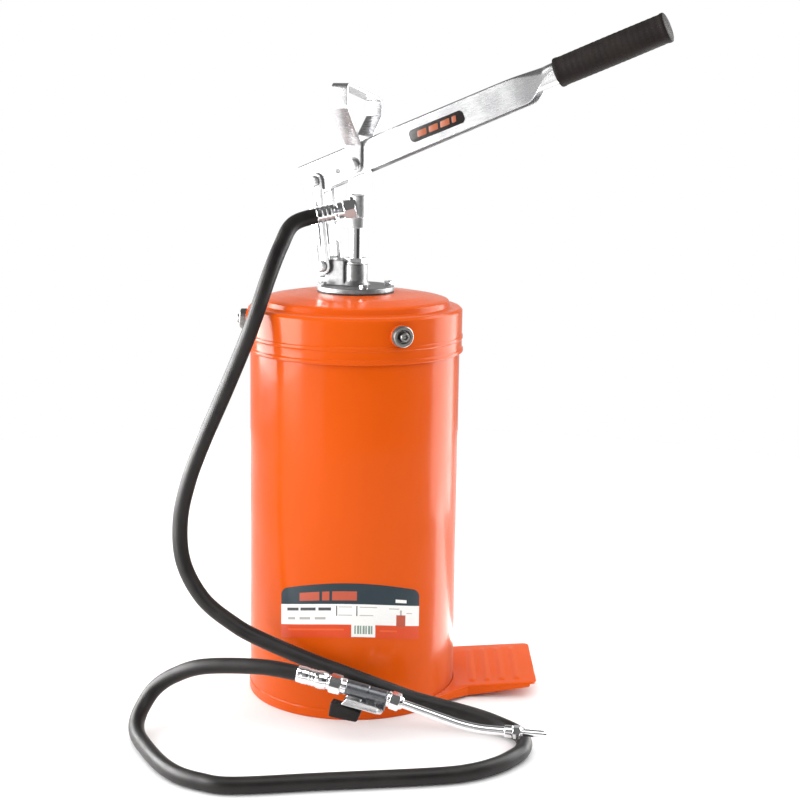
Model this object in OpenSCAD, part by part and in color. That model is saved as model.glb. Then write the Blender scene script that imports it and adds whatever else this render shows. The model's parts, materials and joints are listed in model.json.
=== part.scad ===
// Hand gear oil pump: an oil drum on its base ring with a foot pedal, a clamped lid that carries a
// lever-driven plunger pump, and a delivery hose that ends in a trigger gun.
// Millimetres, +Z up. The origin is on the drum's axis, on the floor. The pump stands on the same axis.

/* [Drum] */
// Outer radius of the drum's wall
drum_r = 117.5; // [114:0.5:118]
// Thickness of the drum's sheet
sheet = 1.2; // [0.8:0.1:1.5]
// Height of the drum's top edge above the floor
drum_top_z = 441; // [430:1:441]
// Height of the rolled ring round the drum's foot
base_ring_h = 11.5; // [9:0.5:13]

/* [Foot pedal] */
// Reach of the pedal from the drum's axis
pedal_reach = 213; // [180:1:230]
// Width of the pedal
pedal_w = 140; // [110:1:150]
// Sideways offset of the pedal's middle behind the axis
pedal_shift = 28; // [0:1:30]
// Upward slope of the pedal in degrees
pedal_slope = 3.8; // [2:0.1:5]

/* [Lid] */
// Outer radius of the lid's skirt
lid_r = 120; // [119.5:0.5:122]
// Height of the lid's rim above the floor
lid_rim_z = 444.6; // [444:0.1:446]
// Depth of the lid's skirt
lid_skirt = 49.6; // [40:0.1:55]
// Height of the three clamp screws above the floor
clamp_z = 426; // [420:1:430]
// Direction of the first clamp screw, in degrees from the front
clamp_turn = 25; // [0:0.1:60]

/* [Pump] */
// Turn of the pump's linkage about the vertical axis, in degrees
pump_yaw = 22; // [0:1:40]
// Radius of the pump's flange
flange_r = 43; // [40:0.5:48]
// Radius of the plunger rod
rod_r = 7; // [6:0.5:8]
// Inner radius of the pump's barrel
barrel_r = 16; // [14:0.5:18]
// Height of the plunger head's lower collar above the floor, at rest
head_z = 531; // [528:1:534]

/* [Lever] */
// Angle of the lever above level, at rest
lever_angle = 22.2; // [22.2:0.1:22.4]
// Half of the lever channel's outer width
lever_half_w = 14; // [13.5:0.1:14]
// Thickness of the lever's sheet
lever_t = 2.2; // [1.8:0.1:2.4]
// Length of the hand grip
grip_len = 124; // [110:1:140]
// Radius of the hand grip
grip_r = 15.8; // [14:0.1:17]

/* [Hose and gun] */
// Outer radius of the hose
hose_r = 8.5; // [8:0.5:9]
// Bore radius of the hose
hose_bore = 5; // [4:0.5:6]
// Sides of the hose's tube
hose_sides = 10; // [8:1:12]

/* [Hidden] */

$fn = 64;
eps = 0.01;
fit = 0.05;                       // radial clearance of a running fit
steel = "#d8dadb";
orange = "#e8641e";
black = "#2a2826";

// ---- shared shapes ----
module ring(r_out, r_in, h) {
    difference() {
        cylinder(r = r_out, h = h);
        translate([0, 0, -1]) cylinder(r = r_in, h = h + 2);
    }
}
// A round bar along Y, centred on y = 0
module cross_bar(r, len) {
    rotate([90, 0, 0]) translate([0, 0, -len / 2]) cylinder(r = r, h = len);
}
module hexagon(flats, h) {
    cylinder(r = flats / sqrt(3), h = h, $fn = 6);
}
// A plate with round ends, lying in the XZ plane from p to q, with its faces at y and y + t
module round_link(p, q, r, y, t) {
    d = q - p;
    translate([p[0], y + t, p[1]]) rotate([90, 0, 0]) cylinder(r = r, h = t);
    translate([q[0], y + t, q[1]]) rotate([90, 0, 0]) cylinder(r = r, h = t);
    translate([p[0], y, p[1]]) rotate([0, -atan2(d[1], d[0]), 0])
        translate([0, 0, -r]) cube([norm(d), t, 2 * r]);
}
module pump_frame() {
    rotate([0, 0, -pump_yaw]) children();
}

// ---- drum ----
bottom_z = 14;                    // underside of the drum's floor
inner_r = drum_r - sheet;

module drum_shell() {
    color(orange) difference() {
        union() {
            translate([0, 0, 2]) ring(drum_r, inner_r, drum_top_z - 2);
            translate([0, 0, drum_top_z - 2]) ring(drum_r, drum_r - 5, 2);
        }
        clamp_places() rotate([0, -90, 0]) cylinder(r = 4.2, h = 30, center = true);
    }
}
module drum_bottom() {
    color(orange) translate([0, 0, bottom_z]) cylinder(r = inner_r, h = sheet);
}
module base_ring() {
    color(orange) rotate_extrude() polygon([
        [inner_r - sheet, 0], [drum_r, 0], [drum_r + 1.1, 1.2], [drum_r + 1.1, base_ring_h - 1.2],
        [drum_r + 0.5, base_ring_h], [drum_r, base_ring_h], [drum_r, 2], [inner_r - sheet, 2]]);
}

// ---- foot pedal: a pressed plate with its edges turned down, welded to the drum ----
pedal_root_x = 96;
pedal_z = 10.5;                   // top of the plate above the floor at the drum's wall
pedal_t = 2;
pedal_corner = 9;
pedal_rib_w = 5;
pedal_ribs = 4;
pedal_corner_in = [39, 0];        // where the near edge turns off along the drum, on the pedal's own plate
gusset_tip = [-12, -44];          // end of the gusset on the drum's wall

module pedal_outline() {
    length = pedal_reach - pedal_root_x;
    union() {
        square([length - pedal_corner, pedal_w]);
        translate([0, pedal_corner]) square([length, pedal_w - 2 * pedal_corner]);
        for (y = [pedal_corner, pedal_w - pedal_corner])
            translate([length - pedal_corner, y]) circle(r = pedal_corner);
        polygon([pedal_corner_in, [pedal_corner_in[0], 6], [gusset_tip[0] - 8, 6], gusset_tip]);
    }
}
// The turned-down edge of the pedal; at the near side it stops where the gusset starts
module pedal_flange(lower) {
    x1 = pedal_reach - pedal_root_x - pedal_corner;
    rotate([90, 0, 0]) translate([0, 0, -pedal_t]) linear_extrude(pedal_t)
        polygon(concat([[lower[len(lower) - 1][0], 0], [x1, 0], [x1, -3]], lower));
}
module gusset_flange() {
    d = pedal_corner_in - gusset_tip;
    translate([gusset_tip[0], gusset_tip[1], 0]) rotate([0, 0, atan2(d[1], d[0])]) rotate([90, 0, 0])
        translate([0, 0, -pedal_t]) linear_extrude(pedal_t)
            polygon([[0, 0], [norm(d), 0], [norm(d), -9.4], [0, -2.5]]);
}
module foot_pedal() {
    color(orange) difference() {
        translate([pedal_root_x, pedal_shift - pedal_w / 2, pedal_z - 1]) rotate([0, -pedal_slope, 0]) {
            linear_extrude(pedal_t) pedal_outline();
            pedal_flange([[pedal_corner_in[0] - 1, -9.4]]);
            gusset_flange();
            translate([0, pedal_w - pedal_t, 0]) pedal_flange([[33, -9.4], [0, -7.2]]);
            for (i = [0 : pedal_ribs - 1])
                translate([42 + i * 17, 12, pedal_t - eps]) cube([pedal_rib_w, pedal_w - 24, 0.7]);
        }
        translate([0, 0, -1]) cylinder(r = drum_r + 1.1, h = 60);
    }
}
// ---- label: a thin printed sheet round the front of the drum, with an arched top ----
label_t = 0.35;
label_half_w = 76;
label_z0 = 85;                    // lower edge at the label's ends
label_z1 = 136;                   // upper edge at the label's ends
label_sag = 9.7;                  // rise of the lower edge at the middle
label_arch = 20;                  // rise of the upper edge at the middle

// A disc whose top passes through both ends of the label at height z and rises by h at the middle
module arch_disc(z, h) {
    r = (pow(label_half_w, 2) + pow(h, 2)) / (2 * h);
    translate([0, z + h - r]) circle(r = r, $fn = 256);
}
module drum_label() {
    color("white") intersection() {
        translate([0, 0, label_z0 - 1]) ring(drum_r + label_t, drum_r, label_z1 + label_arch - label_z0 + 2);
        rotate([90, 0, 0]) linear_extrude(drum_r + 10) difference() {
            union() {
                translate([-label_half_w, label_z0]) square([2 * label_half_w, label_z1 - label_z0]);
                intersection() {
                    translate([-label_half_w, label_z1 - 1]) square([2 * label_half_w, label_arch + 1]);
                    arch_disc(label_z1, label_arch);
                }
            }
            arch_disc(label_z0, label_sag);
        }
    }
}

// ---- lid ----
lid_flat_z = 460;                 // top of the flat seat under the pump's flange
lid_step_r = 104;                 // outer radius of the raised crown
lid_step_z = 453.5;
skirt_z = lid_rim_z - lid_skirt;
bead_z = 412;                     // height of the skirt's pressed bead

// Heights of the lid's upper surface from its centre out to the rim
function lid_top() = [[20, lid_flat_z], [47, lid_flat_z], [76, lid_flat_z - 2.2],
                      [lid_step_r - 4, lid_step_z],
                      [lid_step_r, lid_step_z - 1.2], [lid_step_r + 2.5, lid_rim_z + 1.6],
                      [lid_step_r + 5, lid_rim_z], [lid_r - 2.5, lid_rim_z], [lid_r - 0.7, lid_rim_z - 0.7],
                      [lid_r, lid_rim_z - 2.5]];
function lid_under() = [[lid_r - sheet, lid_rim_z - 3], [lid_r - sheet - 1.6, lid_rim_z - sheet],
                        [lid_step_r + 4, lid_rim_z - sheet], [lid_step_r + 0.5, lid_rim_z + 1],
                        [lid_step_r - 1.5, lid_step_z - 1.8], [lid_step_r - 5, lid_step_z - sheet],
                        [76, lid_flat_z - 3.4], [47, lid_flat_z - sheet], [20, lid_flat_z - sheet]];
module lid() {
    color(orange) difference() {
        union() {
            rotate_extrude() polygon(concat(lid_top(), [[lid_r, bead_z + 2.2], [lid_r + 0.9, bead_z + 1.1],
                [lid_r + 0.9, bead_z - 1.1], [lid_r, bead_z - 2.2], [lid_r, skirt_z + 5],
                [lid_r + 1.4, skirt_z + 3.4], [lid_r + 1.4, skirt_z + 0.8], [lid_r + 0.6, skirt_z],
                [lid_r - sheet, skirt_z]], lid_under()));
        }
        flange_places() translate([0, 0, lid_flat_z - 8]) cylinder(r = 3.3, h = 12);
        clamp_places() rotate([0, -90, 0]) cylinder(r = 4.2, h = 30, center = true);
    }
}
module lid_gasket() {
    color(black) translate([0, 0, drum_top_z]) ring(drum_r - 0.2, drum_r - 5, lid_rim_z - sheet - drum_top_z);
}

// ---- three clamp screws through the lid's skirt into nuts inside the drum ----
// Each child is placed on the lid's skirt with +X pointing outward
module clamp_places() {
    for (i = [0 : 2])
        rotate([0, 0, -90 + clamp_turn + i * 120]) translate([lid_r, 0, clamp_z]) children();
}
module clamp_lugs() {
    color(orange) clamp_places() difference() {
        rotate([0, 90, 0]) translate([0, 0, -0.9]) cylinder(r = 11.7, h = 3.9);
        translate([-lid_r, 0, -clamp_z]) cylinder(r = lid_r, h = 500, $fn = 128);
        rotate([0, 90, 0]) translate([0, 0, -5]) cylinder(r = 4.2, h = 20);
    }
}
// Deep cup washers, with the screws' heads standing inside them
module clamp_washers() {
    color(steel) clamp_places() rotate([0, 90, 0]) translate([0, 0, 3]) difference() {
        union() {
            cylinder(r = 11.4, h = 6);
            translate([0, 0, 6]) cylinder(r1 = 11.4, r2 = 10.2, h = 1.2);
        }
        translate([0, 0, 1.6]) cylinder(r = 7.2, h = 8);
        translate([0, 0, -1]) cylinder(r = 4.2, h = 8);
    }
}
module clamp_screws() {
    color(steel) clamp_places() rotate([0, 90, 0]) difference() {
        union() {
            translate([0, 0, -14]) cylinder(r = 4, h = 20);
            translate([0, 0, 4.6]) cylinder(r = 5, h = 8);
            translate([0, 0, 12.6]) cylinder(r1 = 5, r2 = 4, h = 1);
        }
        translate([0, 0, 8.6]) hexagon(5, 6);
    }
}
module clamp_nuts() {
    color(steel) clamp_places() rotate([0, 90, 0])
        translate([0, 0, drum_r - lid_r - sheet - 7]) difference() {
        hexagon(13, 6.5);
        translate([0, 0, -1]) cylinder(r = 4, h = 9);
    }
}

// ---- pump flange with its neck and the ear that carries the link ----
gasket_t = 1;
flange_z = lid_flat_z + gasket_t;
flange_t = 6;
neck_r = 13;
neck_top = 491;
ear = [-33.5, 487.5];             // axis of the link's lower pin, in the linkage's XZ plane
ear_r = 9.5;
ear_half_w = 13.6;
pin_r = 4;
packing_r = 10;
bolt_circle = 38;
bolt_turn = 15;

module flange_places() {
    for (i = [0 : 3])
        rotate([0, 0, bolt_turn + i * 90]) translate([bolt_circle, 0, 0]) children();
}
module pump_flange() {
    color(steel) difference() {
        union() {
            translate([0, 0, flange_z]) cylinder(r = flange_r, h = flange_t);
            translate([0, 0, flange_z]) cylinder(r = neck_r, h = neck_top - flange_z);
            translate([0, 0, flange_z]) cylinder(r1 = 20, r2 = neck_r - 0.5, h = flange_t + 7);
            pump_frame() {
                translate([ear[0], 0, ear[1]]) cross_bar(ear_r, 2 * ear_half_w);
                translate([ear[0] + 3, -ear_half_w, flange_z + 1])
                    cube([-ear[0] - 3 - 8.5, 2 * ear_half_w, neck_top + 3.5 - flange_z]);
                translate([ear[0] - 5, -ear_half_w, flange_z + 1]) cube([12, 2 * ear_half_w, 14]);
            }
        }
        translate([0, 0, flange_z - 1]) cylinder(r = rod_r + fit, h = 60);
        translate([0, 0, neck_top - 15]) cylinder(r = packing_r, h = 40);
        translate([0, 0, flange_z - 1]) cylinder(r = barrel_r + 2, h = 5);
        pump_frame() translate([ear[0], 0, ear[1]]) cross_bar(pin_r + fit, 80);
        flange_places() translate([0, 0, flange_z - 1]) cylinder(r = 3.3, h = 30);
    }
}
module flange_gasket() {
    color(black) translate([0, 0, lid_flat_z]) difference() {
        ring(flange_r, 20, gasket_t);
        flange_places() translate([0, 0, -1]) cylinder(r = 3.3, h = 4);
    }
}
module flange_bolts() {
    color(steel) flange_places() translate([0, 0, flange_z + flange_t]) {
        difference() {
            hexagon(8.5, 4);
            translate([0, 0, 3.4]) cylinder(r = 2.2, h = 1);
        }
        translate([0, 0, -17]) cylinder(r = 3, h = 17 + eps);
    }
}
module flange_nuts() {
    color(steel) flange_places() translate([0, 0, lid_flat_z - sheet - 5]) difference() {
        hexagon(8.5, 5);
        translate([0, 0, -1]) cylinder(r = 3, h = 7);
    }
}
module gland_nut() {
    color(steel) difference() {
        union() {
            translate([0, 0, neck_top]) cylinder(r = neck_r - 0.6, h = 2);
            translate([0, 0, neck_top + 2]) hexagon(22.5, 4.5);
        }
        translate([0, 0, neck_top - 1]) cylinder(r = rod_r + fit, h = 12);
        pump_frame() translate([-60, -30, neck_top - 1]) cube([60 - 8.2, 60, 5.8]);
    }
}
module rod_packing() {
    color(black) translate([0, 0, neck_top - 15]) ring(packing_r, rod_r + fit, 15);
}

// ---- barrel, foot valve and strainer, inside the drum ----
barrel_bottom = 54;
barrel_wall = 2;
ball_r = 7;
seat_r = 5.5;
seat_z = 34.5;
foot_lift = 4;
function ball_height(r, seat) = sqrt(r * r - seat * seat) + fit;

module pump_barrel() {
    color(steel) translate([0, 0, barrel_bottom])
        ring(barrel_r + barrel_wall, barrel_r, flange_z + 4 - barrel_bottom);
}
module foot_valve_body() {
    color("#b9a15a") difference() {
        translate([0, 0, 32]) cylinder(r = barrel_r + barrel_wall + 3, h = 30);
        translate([0, 0, barrel_bottom]) cylinder(r = barrel_r + barrel_wall, h = 20);
        translate([0, 0, seat_z]) cylinder(r = 11, h = 30);
        translate([0, 0, 30]) cylinder(r = seat_r, h = 20);
        translate([0, 0, seat_z + ball_height(ball_r, seat_r) + ball_r + foot_lift + 1.7]) cross_bar(1.5, 60);
    }
}
module foot_valve_ball() {
    color(steel) translate([0, 0, seat_z + ball_height(ball_r, seat_r)]) sphere(r = ball_r);
}
module foot_valve_pin() {
    color(steel) translate([0, 0, seat_z + ball_height(ball_r, seat_r) + ball_r + foot_lift + 1.7])
        cross_bar(1.5, 2 * (barrel_r + barrel_wall + 3) - 1);
}
module suction_strainer() {
    color(steel) difference() {
        translate([0, 0, 18]) cylinder(r = 17, h = 14);
        translate([0, 0, 19.2]) cylinder(r = 15.8, h = 20);
        for (i = [0 : 3])
            rotate([0, 0, i * 45]) translate([-25, -2, 21.5]) cube([50, 4, 7]);
        for (i = [0 : 5])
            rotate([0, 0, i * 60]) translate([9, 0, 10]) cylinder(r = 2.6, h = 20);
    }
}

// ---- plunger: rod, piston and delivery valve ----
rod_bottom = 112;
rod_top = head_z + 17;
rod_bore = 3.5;
piston_z = 92;
delivery_r = 6;
delivery_seat = 4.5;
delivery_lift = 3;
chamber_r = 8.6;

module piston_rod() {
    color(steel) difference() {
        translate([0, 0, rod_bottom]) cylinder(r = rod_r, h = rod_top - rod_bottom);
        translate([0, 0, rod_bottom - 1]) cylinder(r = rod_bore, h = rod_top - rod_bottom + 2);
        for (a = [0, 90])
            rotate([0, 0, a]) translate([-10, -1.2, rod_bottom - 1]) cube([20, 2.4, 3]);
    }
}
module piston() {
    color("#b9a15a") difference() {
        translate([0, 0, piston_z]) cylinder(r = barrel_r - 0.6, h = 34);
        translate([0, 0, piston_z - 1]) cylinder(r = delivery_seat, h = 40);
        translate([0, 0, piston_z + 6]) cylinder(r = chamber_r, h = rod_bottom - piston_z - 6 + eps);
        translate([0, 0, rod_bottom]) cylinder(r = rod_r, h = 40);
        translate([0, 0, piston_z + 20]) ring(barrel_r + 2, barrel_r - 4, 8);
    }
}
module piston_cup() {
    color(black) difference() {
        translate([0, 0, piston_z + 20]) cylinder(r = barrel_r - fit, h = 8);
        translate([0, 0, piston_z + 19]) cylinder(r = barrel_r - 4, h = 10);
    }
}
module delivery_ball() {
    color(steel) translate([0, 0, piston_z + 6 + ball_height(delivery_r, delivery_seat)])
        sphere(r = delivery_r);
}

// ---- plunger head, with the lug that the lever turns on and the hose outlet ----
pivot = [4, 601];                 // axis of the head pin, in the linkage's XZ plane
lug_r = 9.5;
lug_half_w = 10.8;
outlet = [3, -21, 555.5];         // start of the outlet's axis
outlet_yaw = 187;                 // direction of the outlet, in degrees about Z
outlet_dip = 12;                  // fall of the outlet, in degrees
head_pin_r = 4.5;
cheek_in = lever_half_w + 0.5;
cheek_t = 3.2;

// Children stand on +X along the outlet's axis
module outlet_frame() {
    translate(outlet) rotate([0, 0, outlet_yaw]) rotate([0, outlet_dip, 0]) children();
}
module along_x(x, r, len) {
    translate([x, 0, 0]) rotate([0, 90, 0]) cylinder(r = r, h = len);
}
module hex_along_x(x, flats, len, bore) {
    translate([x, 0, 0]) rotate([0, 90, 0]) difference() {
        hexagon(flats, len);
        translate([0, 0, -1]) cylinder(r = bore, h = len + 2);
    }
}
module pump_head() {
    color(steel) difference() {
        union() {
            translate([0, 0, head_z]) cylinder(r = neck_r, h = 11);
            translate([0, 0, head_z + 11 - eps]) cylinder(r1 = neck_r, r2 = neck_r - 2, h = 4);
            translate([0, 0, head_z + 5]) cylinder(r = neck_r - 2, h = 29);
            translate([2.5, -17, head_z + 13]) cylinder(r = 10.5, h = 24);
            translate([2.5 - 9, -17, head_z + 15]) cube([18, 17, 18]);
            pump_frame() {
                translate([pivot[0], 0, pivot[1]]) cross_bar(lug_r, 2 * lug_half_w);
                translate([pivot[0] - lug_r, -lug_half_w, head_z + 29])
                    cube([2 * lug_r, 2 * lug_half_w, pivot[1] - head_z - 29]);
            }
        }
        translate([0, 0, head_z - 1]) cylinder(r = rod_r, h = rod_top - head_z + 1);
        translate([0, 0, head_z]) cylinder(r = rod_bore, h = outlet[2] - head_z);
        translate([0, 0, outlet[2] - 3]) rotate([0, 0, -90]) along_x(0, rod_bore, 20);
        outlet_frame() along_x(-4, 5, 40);
        outlet_frame() along_x(3.5, 12.5, 40);
        pump_frame() translate([pivot[0], 0, pivot[1]]) cross_bar(head_pin_r, 60);
    }
}

// One flat bar bent into a loop, standing across the lever; its two feet are the cheeks on the head pin
strap_w = 19;
strap_y = cheek_in + cheek_t / 2;
strap_path = [[-strap_y, pivot[1]], [-strap_y, 622], [-54, 664], [-54, 688],
              [41, 671], [41, 652], [strap_y, 632], [strap_y, pivot[1]]];

// Points of the arc that rounds the corner b between a and c
function corner(a, b, c, r, n) =
    let (u = unit(a - b), v = unit(c - b), half = acos(u * v) / 2, centre = b + unit(u + v) * r / sin(half),
         s = b + u * r / tan(half) - centre, e = b + v * r / tan(half) - centre,
         turn = (atan2(e[1], e[0]) - atan2(s[1], s[0]) + 540) % 360 - 180)
    [for (i = [0 : n]) centre + [s[0] * cos(turn * i / n) - s[1] * sin(turn * i / n),
                                 s[0] * sin(turn * i / n) + s[1] * cos(turn * i / n)]];
function rounded(p, r, n) =
    concat([p[0]], [for (i = [1 : len(p) - 2]) each corner(p[i - 1], p[i], p[i + 1], r, n)], [p[len(p) - 1]]);
function across(p, i) = let (d = unit(p[min(i + 1, len(p) - 1)] - p[max(i - 1, 0)])) [-d[1], d[0]];
// Outline of a band of thickness t along the path p
function band(p, t) = concat([for (i = [0 : len(p) - 1]) p[i] + across(p, i) * t / 2],
                             [for (i = [len(p) - 1 : -1 : 0]) p[i] - across(p, i) * t / 2]);
module carry_strap() {
    color(steel) pump_frame() translate([pivot[0] - 1, 0, 0]) difference() {
        union() {
            translate([-strap_w / 2, 0, 0]) rotate([90, 0, 90]) linear_extrude(strap_w)
                polygon(band(rounded(strap_path, 5, 5), cheek_t));
            for (s = [-1, 1])
                translate([0, s * strap_y, pivot[1]]) cross_bar(strap_w / 2, cheek_t);
        }
        translate([1, 0, pivot[1]]) cross_bar(head_pin_r, 60);
    }
}
module head_pin() {
    color(steel) pump_frame() translate([pivot[0], 0, pivot[1]]) {
        cross_bar(head_pin_r, 2 * (cheek_in + cheek_t) + 1);
        for (s = [-1, 1])
            translate([0, s * (cheek_in + cheek_t + 1.5), 0]) cross_bar(6, 3);
    }
}
module hose_nipple() {
    color(steel) outlet_frame() difference() {
        union() {
            along_x(2, 5, 24);
            along_x(24, 6.4, 5);
            along_x(28, 5 - 0.2, 18);
        }
        along_x(-1, 2.5, 60);
    }
}
module hose_nut() {
    color(steel) outlet_frame() hex_along_x(4, 20, 20, 5);
}
module upper_ferrule() {
    color(steel) outlet_frame() difference() {
        union() {
            along_x(27, 8.6, 20);
            along_x(30, 9.2, 4);
        }
        along_x(26, 6.4, 3);
        along_x(28.9, hose_bore, 30);
    }
}

// ---- link: two plates from the flange's ear up to the short end of the lever ----
link_top = [-44, 581.5];          // axis of the link's upper pin, in the linkage's XZ plane
link_r = 9.6;
link_t = 3.4;
link_in = lever_half_w + 0.5;
link_flange = 6;                  // depth of the plates' folded inner edge

module link_plate(side) {
    y = side < 0 ? -link_in - link_t : link_in;
    difference() {
        union() {
            round_link(ear, link_top, link_r, y, link_t);
            // the edge folded inward between the two eyes, clear of the ear and of the lever
            translate([ear[0], 0, ear[1]]) rotate([0, -atan2(link_top[1] - ear[1], link_top[0] - ear[0]), 0])
                translate([24, side < 0 ? -link_in - 0.1 : link_in - link_flange + 0.1, -link_r])
                    cube([24, link_flange, 2.4]);
        }
        translate([ear[0], 0, ear[1]]) cross_bar(pin_r, 90);
        translate([link_top[0], 0, link_top[1]]) cross_bar(pin_r, 90);
    }
}
module link_plates() {
    color(steel) pump_frame() {
        link_plate(-1);
        link_plate(1);
    }
}
module link_pin(at) {
    color(steel) pump_frame() translate([at[0], 0, at[1]]) {
        cross_bar(pin_r, 2 * (link_in + link_t) + 1);
        for (s = [-1, 1])
            translate([0, s * (link_in + link_t + 1.6), 0]) cross_bar(6.4, 3.2);
    }
}
module link_top_pin() {
    link_pin(link_top);
}
module link_lower_pin() {
    link_pin(ear);
}

// ---- lever: a channel open below, its long end necked onto the round handle bar ----
lever_back = -66;                 // short end, measured from the head pin along the lever
lever_top = 21.7;                 // height of the channel's top above the pin line
lever_low = -12.3;                // lower edge of its walls
channel_end = 214;                // end of the full channel
bar_n = 9;                        // height of the handle bar's axis above the pin line
bar_r = 11;
grip_start = 245;
slot_along = [-5.9, 1.1];         // play of the link's upper pin along the lever
slot_across = [-0.5, 1.3];        // and square to it
pin_back = norm(link_top - pivot);

// Children use X along the lever from the head pin, Y across it and Z square to it
module lever_frame() {
    pump_frame() translate([pivot[0], 0, pivot[1]]) rotate([0, -lever_angle, 0]) children();
}
module channel_side(inset) {
    polygon([[lever_back - (inset > 0 ? 5 : 0), lever_low - inset],
             [channel_end - 16, lever_low + 2.2 - inset],
             [channel_end, lever_low + 4 - inset], [channel_end + 14, bar_n - bar_r + inset],
             [channel_end + 18, bar_n + bar_r - inset], [channel_end - 30, lever_top - inset],
             [lever_back - (inset > 0 ? 5 : 0), lever_top - inset]]);
}
module pin_slot() {
    r = pin_r + 0.3;
    length = slot_along[1] - slot_along[0];
    height = slot_across[1] - slot_across[0];
    for (x = slot_along, z = slot_across)
        translate([-pin_back + x, 0, z]) cross_bar(r, 80);
    translate([-pin_back + slot_along[0] - r, -40, slot_across[0]]) cube([length + 2 * r, 80, height]);
    translate([-pin_back + slot_along[0], -40, slot_across[0] - r]) cube([length, 80, height + 2 * r]);
}
module lever_channel() {
    color(steel) lever_frame() difference() {
        rotate([90, 0, 0]) translate([0, 0, -lever_half_w]) linear_extrude(2 * lever_half_w) channel_side(0);
        rotate([90, 0, 0]) translate([0, 0, -lever_half_w + lever_t])
            linear_extrude(2 * (lever_half_w - lever_t))
            channel_side(lever_t);
        cross_bar(head_pin_r + fit, 80);
        translate([-21.8, 0, 1]) cross_bar(3, 80);
        pin_slot();
        translate([200, 0, bar_n]) rotate([0, 90, 0]) cylinder(r = bar_r, h = 60);
    }
}
module handle_bar() {
    color(steel) lever_frame() translate([channel_end - 8, 0, bar_n]) rotate([0, 90, 0])
        cylinder(r = bar_r, h = grip_start + grip_len - 4 - channel_end + 8);
}
module hand_grip() {
    color(black) lever_frame() translate([grip_start, 0, bar_n]) rotate([0, 90, 0]) difference() {
        union() {
            cylinder(r = grip_r, h = 5);
            translate([0, 0, 4]) cylinder(r = grip_r - 0.6, h = grip_len - 8);
            translate([0, 0, grip_len - 5]) cylinder(r = grip_r, h = 5);
        }
        translate([0, 0, -1]) cylinder(r = bar_r, h = grip_len - 3);
    }
}
module lever_badge() {
    color(black) lever_frame() translate([71, -lever_half_w, -3]) rotate([90, 0, 0])
        linear_extrude(0.4) union() {
        translate([3, 0]) square([60, 14.5]);
        translate([0, 2.5]) square([66, 9.5]);
    }
}

// ---- hose: out of the head, down past the drum's left, across its front, round on the floor to the gun ----
outlet_dir = [cos(outlet_dip) * cos(outlet_yaw), cos(outlet_dip) * sin(outlet_yaw), -sin(outlet_dip)];
hose_start = outlet + 30 * outlet_dir;
hose_mouth = outlet + 47 * outlet_dir;
upper_route = [[-68, -36, 536.5], [-80.1, -50, 514], [-91.9, -69, 482], [-108.7, -87, 430],
    [-133.2, -91, 369]];
lower_route = [[-161.4, -91, 303], [-177.7, -91, 258], [-186.5, -91, 214], [-182.5, -96, 170],
    [-160.5, -102, 131], [-126.8, -108, 105], [-97, -113, 90], [-39, -127, 70.1], [-10, -132, 61.1],
    [42, -137, 43.4], [73, -140, 33.5], [137, -147, 18.9], [166, -156, 11.6], [183.1, -172.2, 8.9],
    [187.5, -196.8, 8.9], [183.1, -220.2, 8.9], [173, -237, 8.9], [156.7, -256.3, 8.9],
    [128.1, -276.2, 8.9], [87, -288.2, 8.9], [-22, -304.7, 8.9], [-107, -317.7, 8.9],
    [-140.5, -308.6, 8.9], [-165.5, -292.1, 8.9], [-185.8, -265.4, 8.9], [-205.2, -227.5, 8.9],
    [-219.3, -195, 10.2], [-224.2, -170, 14.8], [-220.6, -150, 25.2], [-208.7, -138, 41.4],
    [-187.1, -138, 56.5], [-154, -146, 69.5], [-94, -158, 74.3]];

// Frame of the gun: X runs from its inlet to its nozzle
gun_at = [-53, -165, 70.2];
gun_yaw = -10.8;
gun_dip = 11.3;
module gun_frame() {
    translate(gun_at) rotate([0, 0, gun_yaw]) rotate([0, gun_dip, 0]) children();
}
gun_dir = [cos(gun_dip) * cos(gun_yaw), cos(gun_dip) * sin(gun_yaw), -sin(gun_dip)];

// Catmull-Rom curve through the route's points
function curve_point(p, i, t) =
    let (a = p[i - 1], b = p[i], c = p[i + 1], d = p[i + 2])
    0.5 * (2 * b + (c - a) * t + (2 * a - 5 * b + 4 * c - d) * t * t + (3 * b - a - 3 * c + d) * t * t * t);
function unit(v) = v / norm(v);

upper_ring_count = 12;
lower_ring_count = 64;
hose_gap = 0.3;                   // between the hose's moving and fixed lengths
upper_points = concat([hose_start - 20 * outlet_dir, hose_start, hose_mouth], upper_route, [lower_route[0]]);
lower_points = concat([upper_route[3], upper_route[4]], lower_route, [gun_at, gun_at + 20 * gun_dir]);
// Rings at even steps of the curve's own parameter
function centres(p, n) = let (spans = len(p) - 3)
    [for (k = [0 : n]) let (u = min(k * spans / n, spans - 0.000001))
        curve_point(p, 1 + floor(u), u - floor(u))];
// Unit directions at each ring; the first and last are square to the pieces that they meet
function directions(c, first, last) =
    [for (i = [0 : len(c) - 1]) i == 0 ? first : i == len(c) - 1 ? last : unit(c[i + 1] - c[i - 1])];
// Side vectors carried along the tube without twist
function carried(d, i) = i == 0 ? unit(cross(d[0], [0, 0, 1] + 0.2 * [0, 1, 0]))
    : let (s = carried(d, i - 1)) unit(s - (s * d[i]) * d[i]);
module tube(c, d, r) {
    n = hose_sides;
    m = len(c);
    sides = [for (i = [0 : m - 1]) carried(d, i)];
    points = [for (i = [0 : m - 1]) let (s = sides[i], t = cross(d[i], s))
              for (k = [0 : n - 1]) c[i] + r * (cos(360 * k / n) * s + sin(360 * k / n) * t)];
    faces = concat([[for (k = [0 : n - 1]) k]], [[for (k = [0 : n - 1]) m * n - 1 - k]],
                   [for (i = [0 : m - 2], k = [0 : n - 1])
                    [i * n + k, (i + 1) * n + k, (i + 1) * n + (k + 1) % n, i * n + (k + 1) % n]]);
    polyhedron(points = points, faces = faces);
}
joint_dir = unit(lower_route[0] - upper_route[3]);
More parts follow.
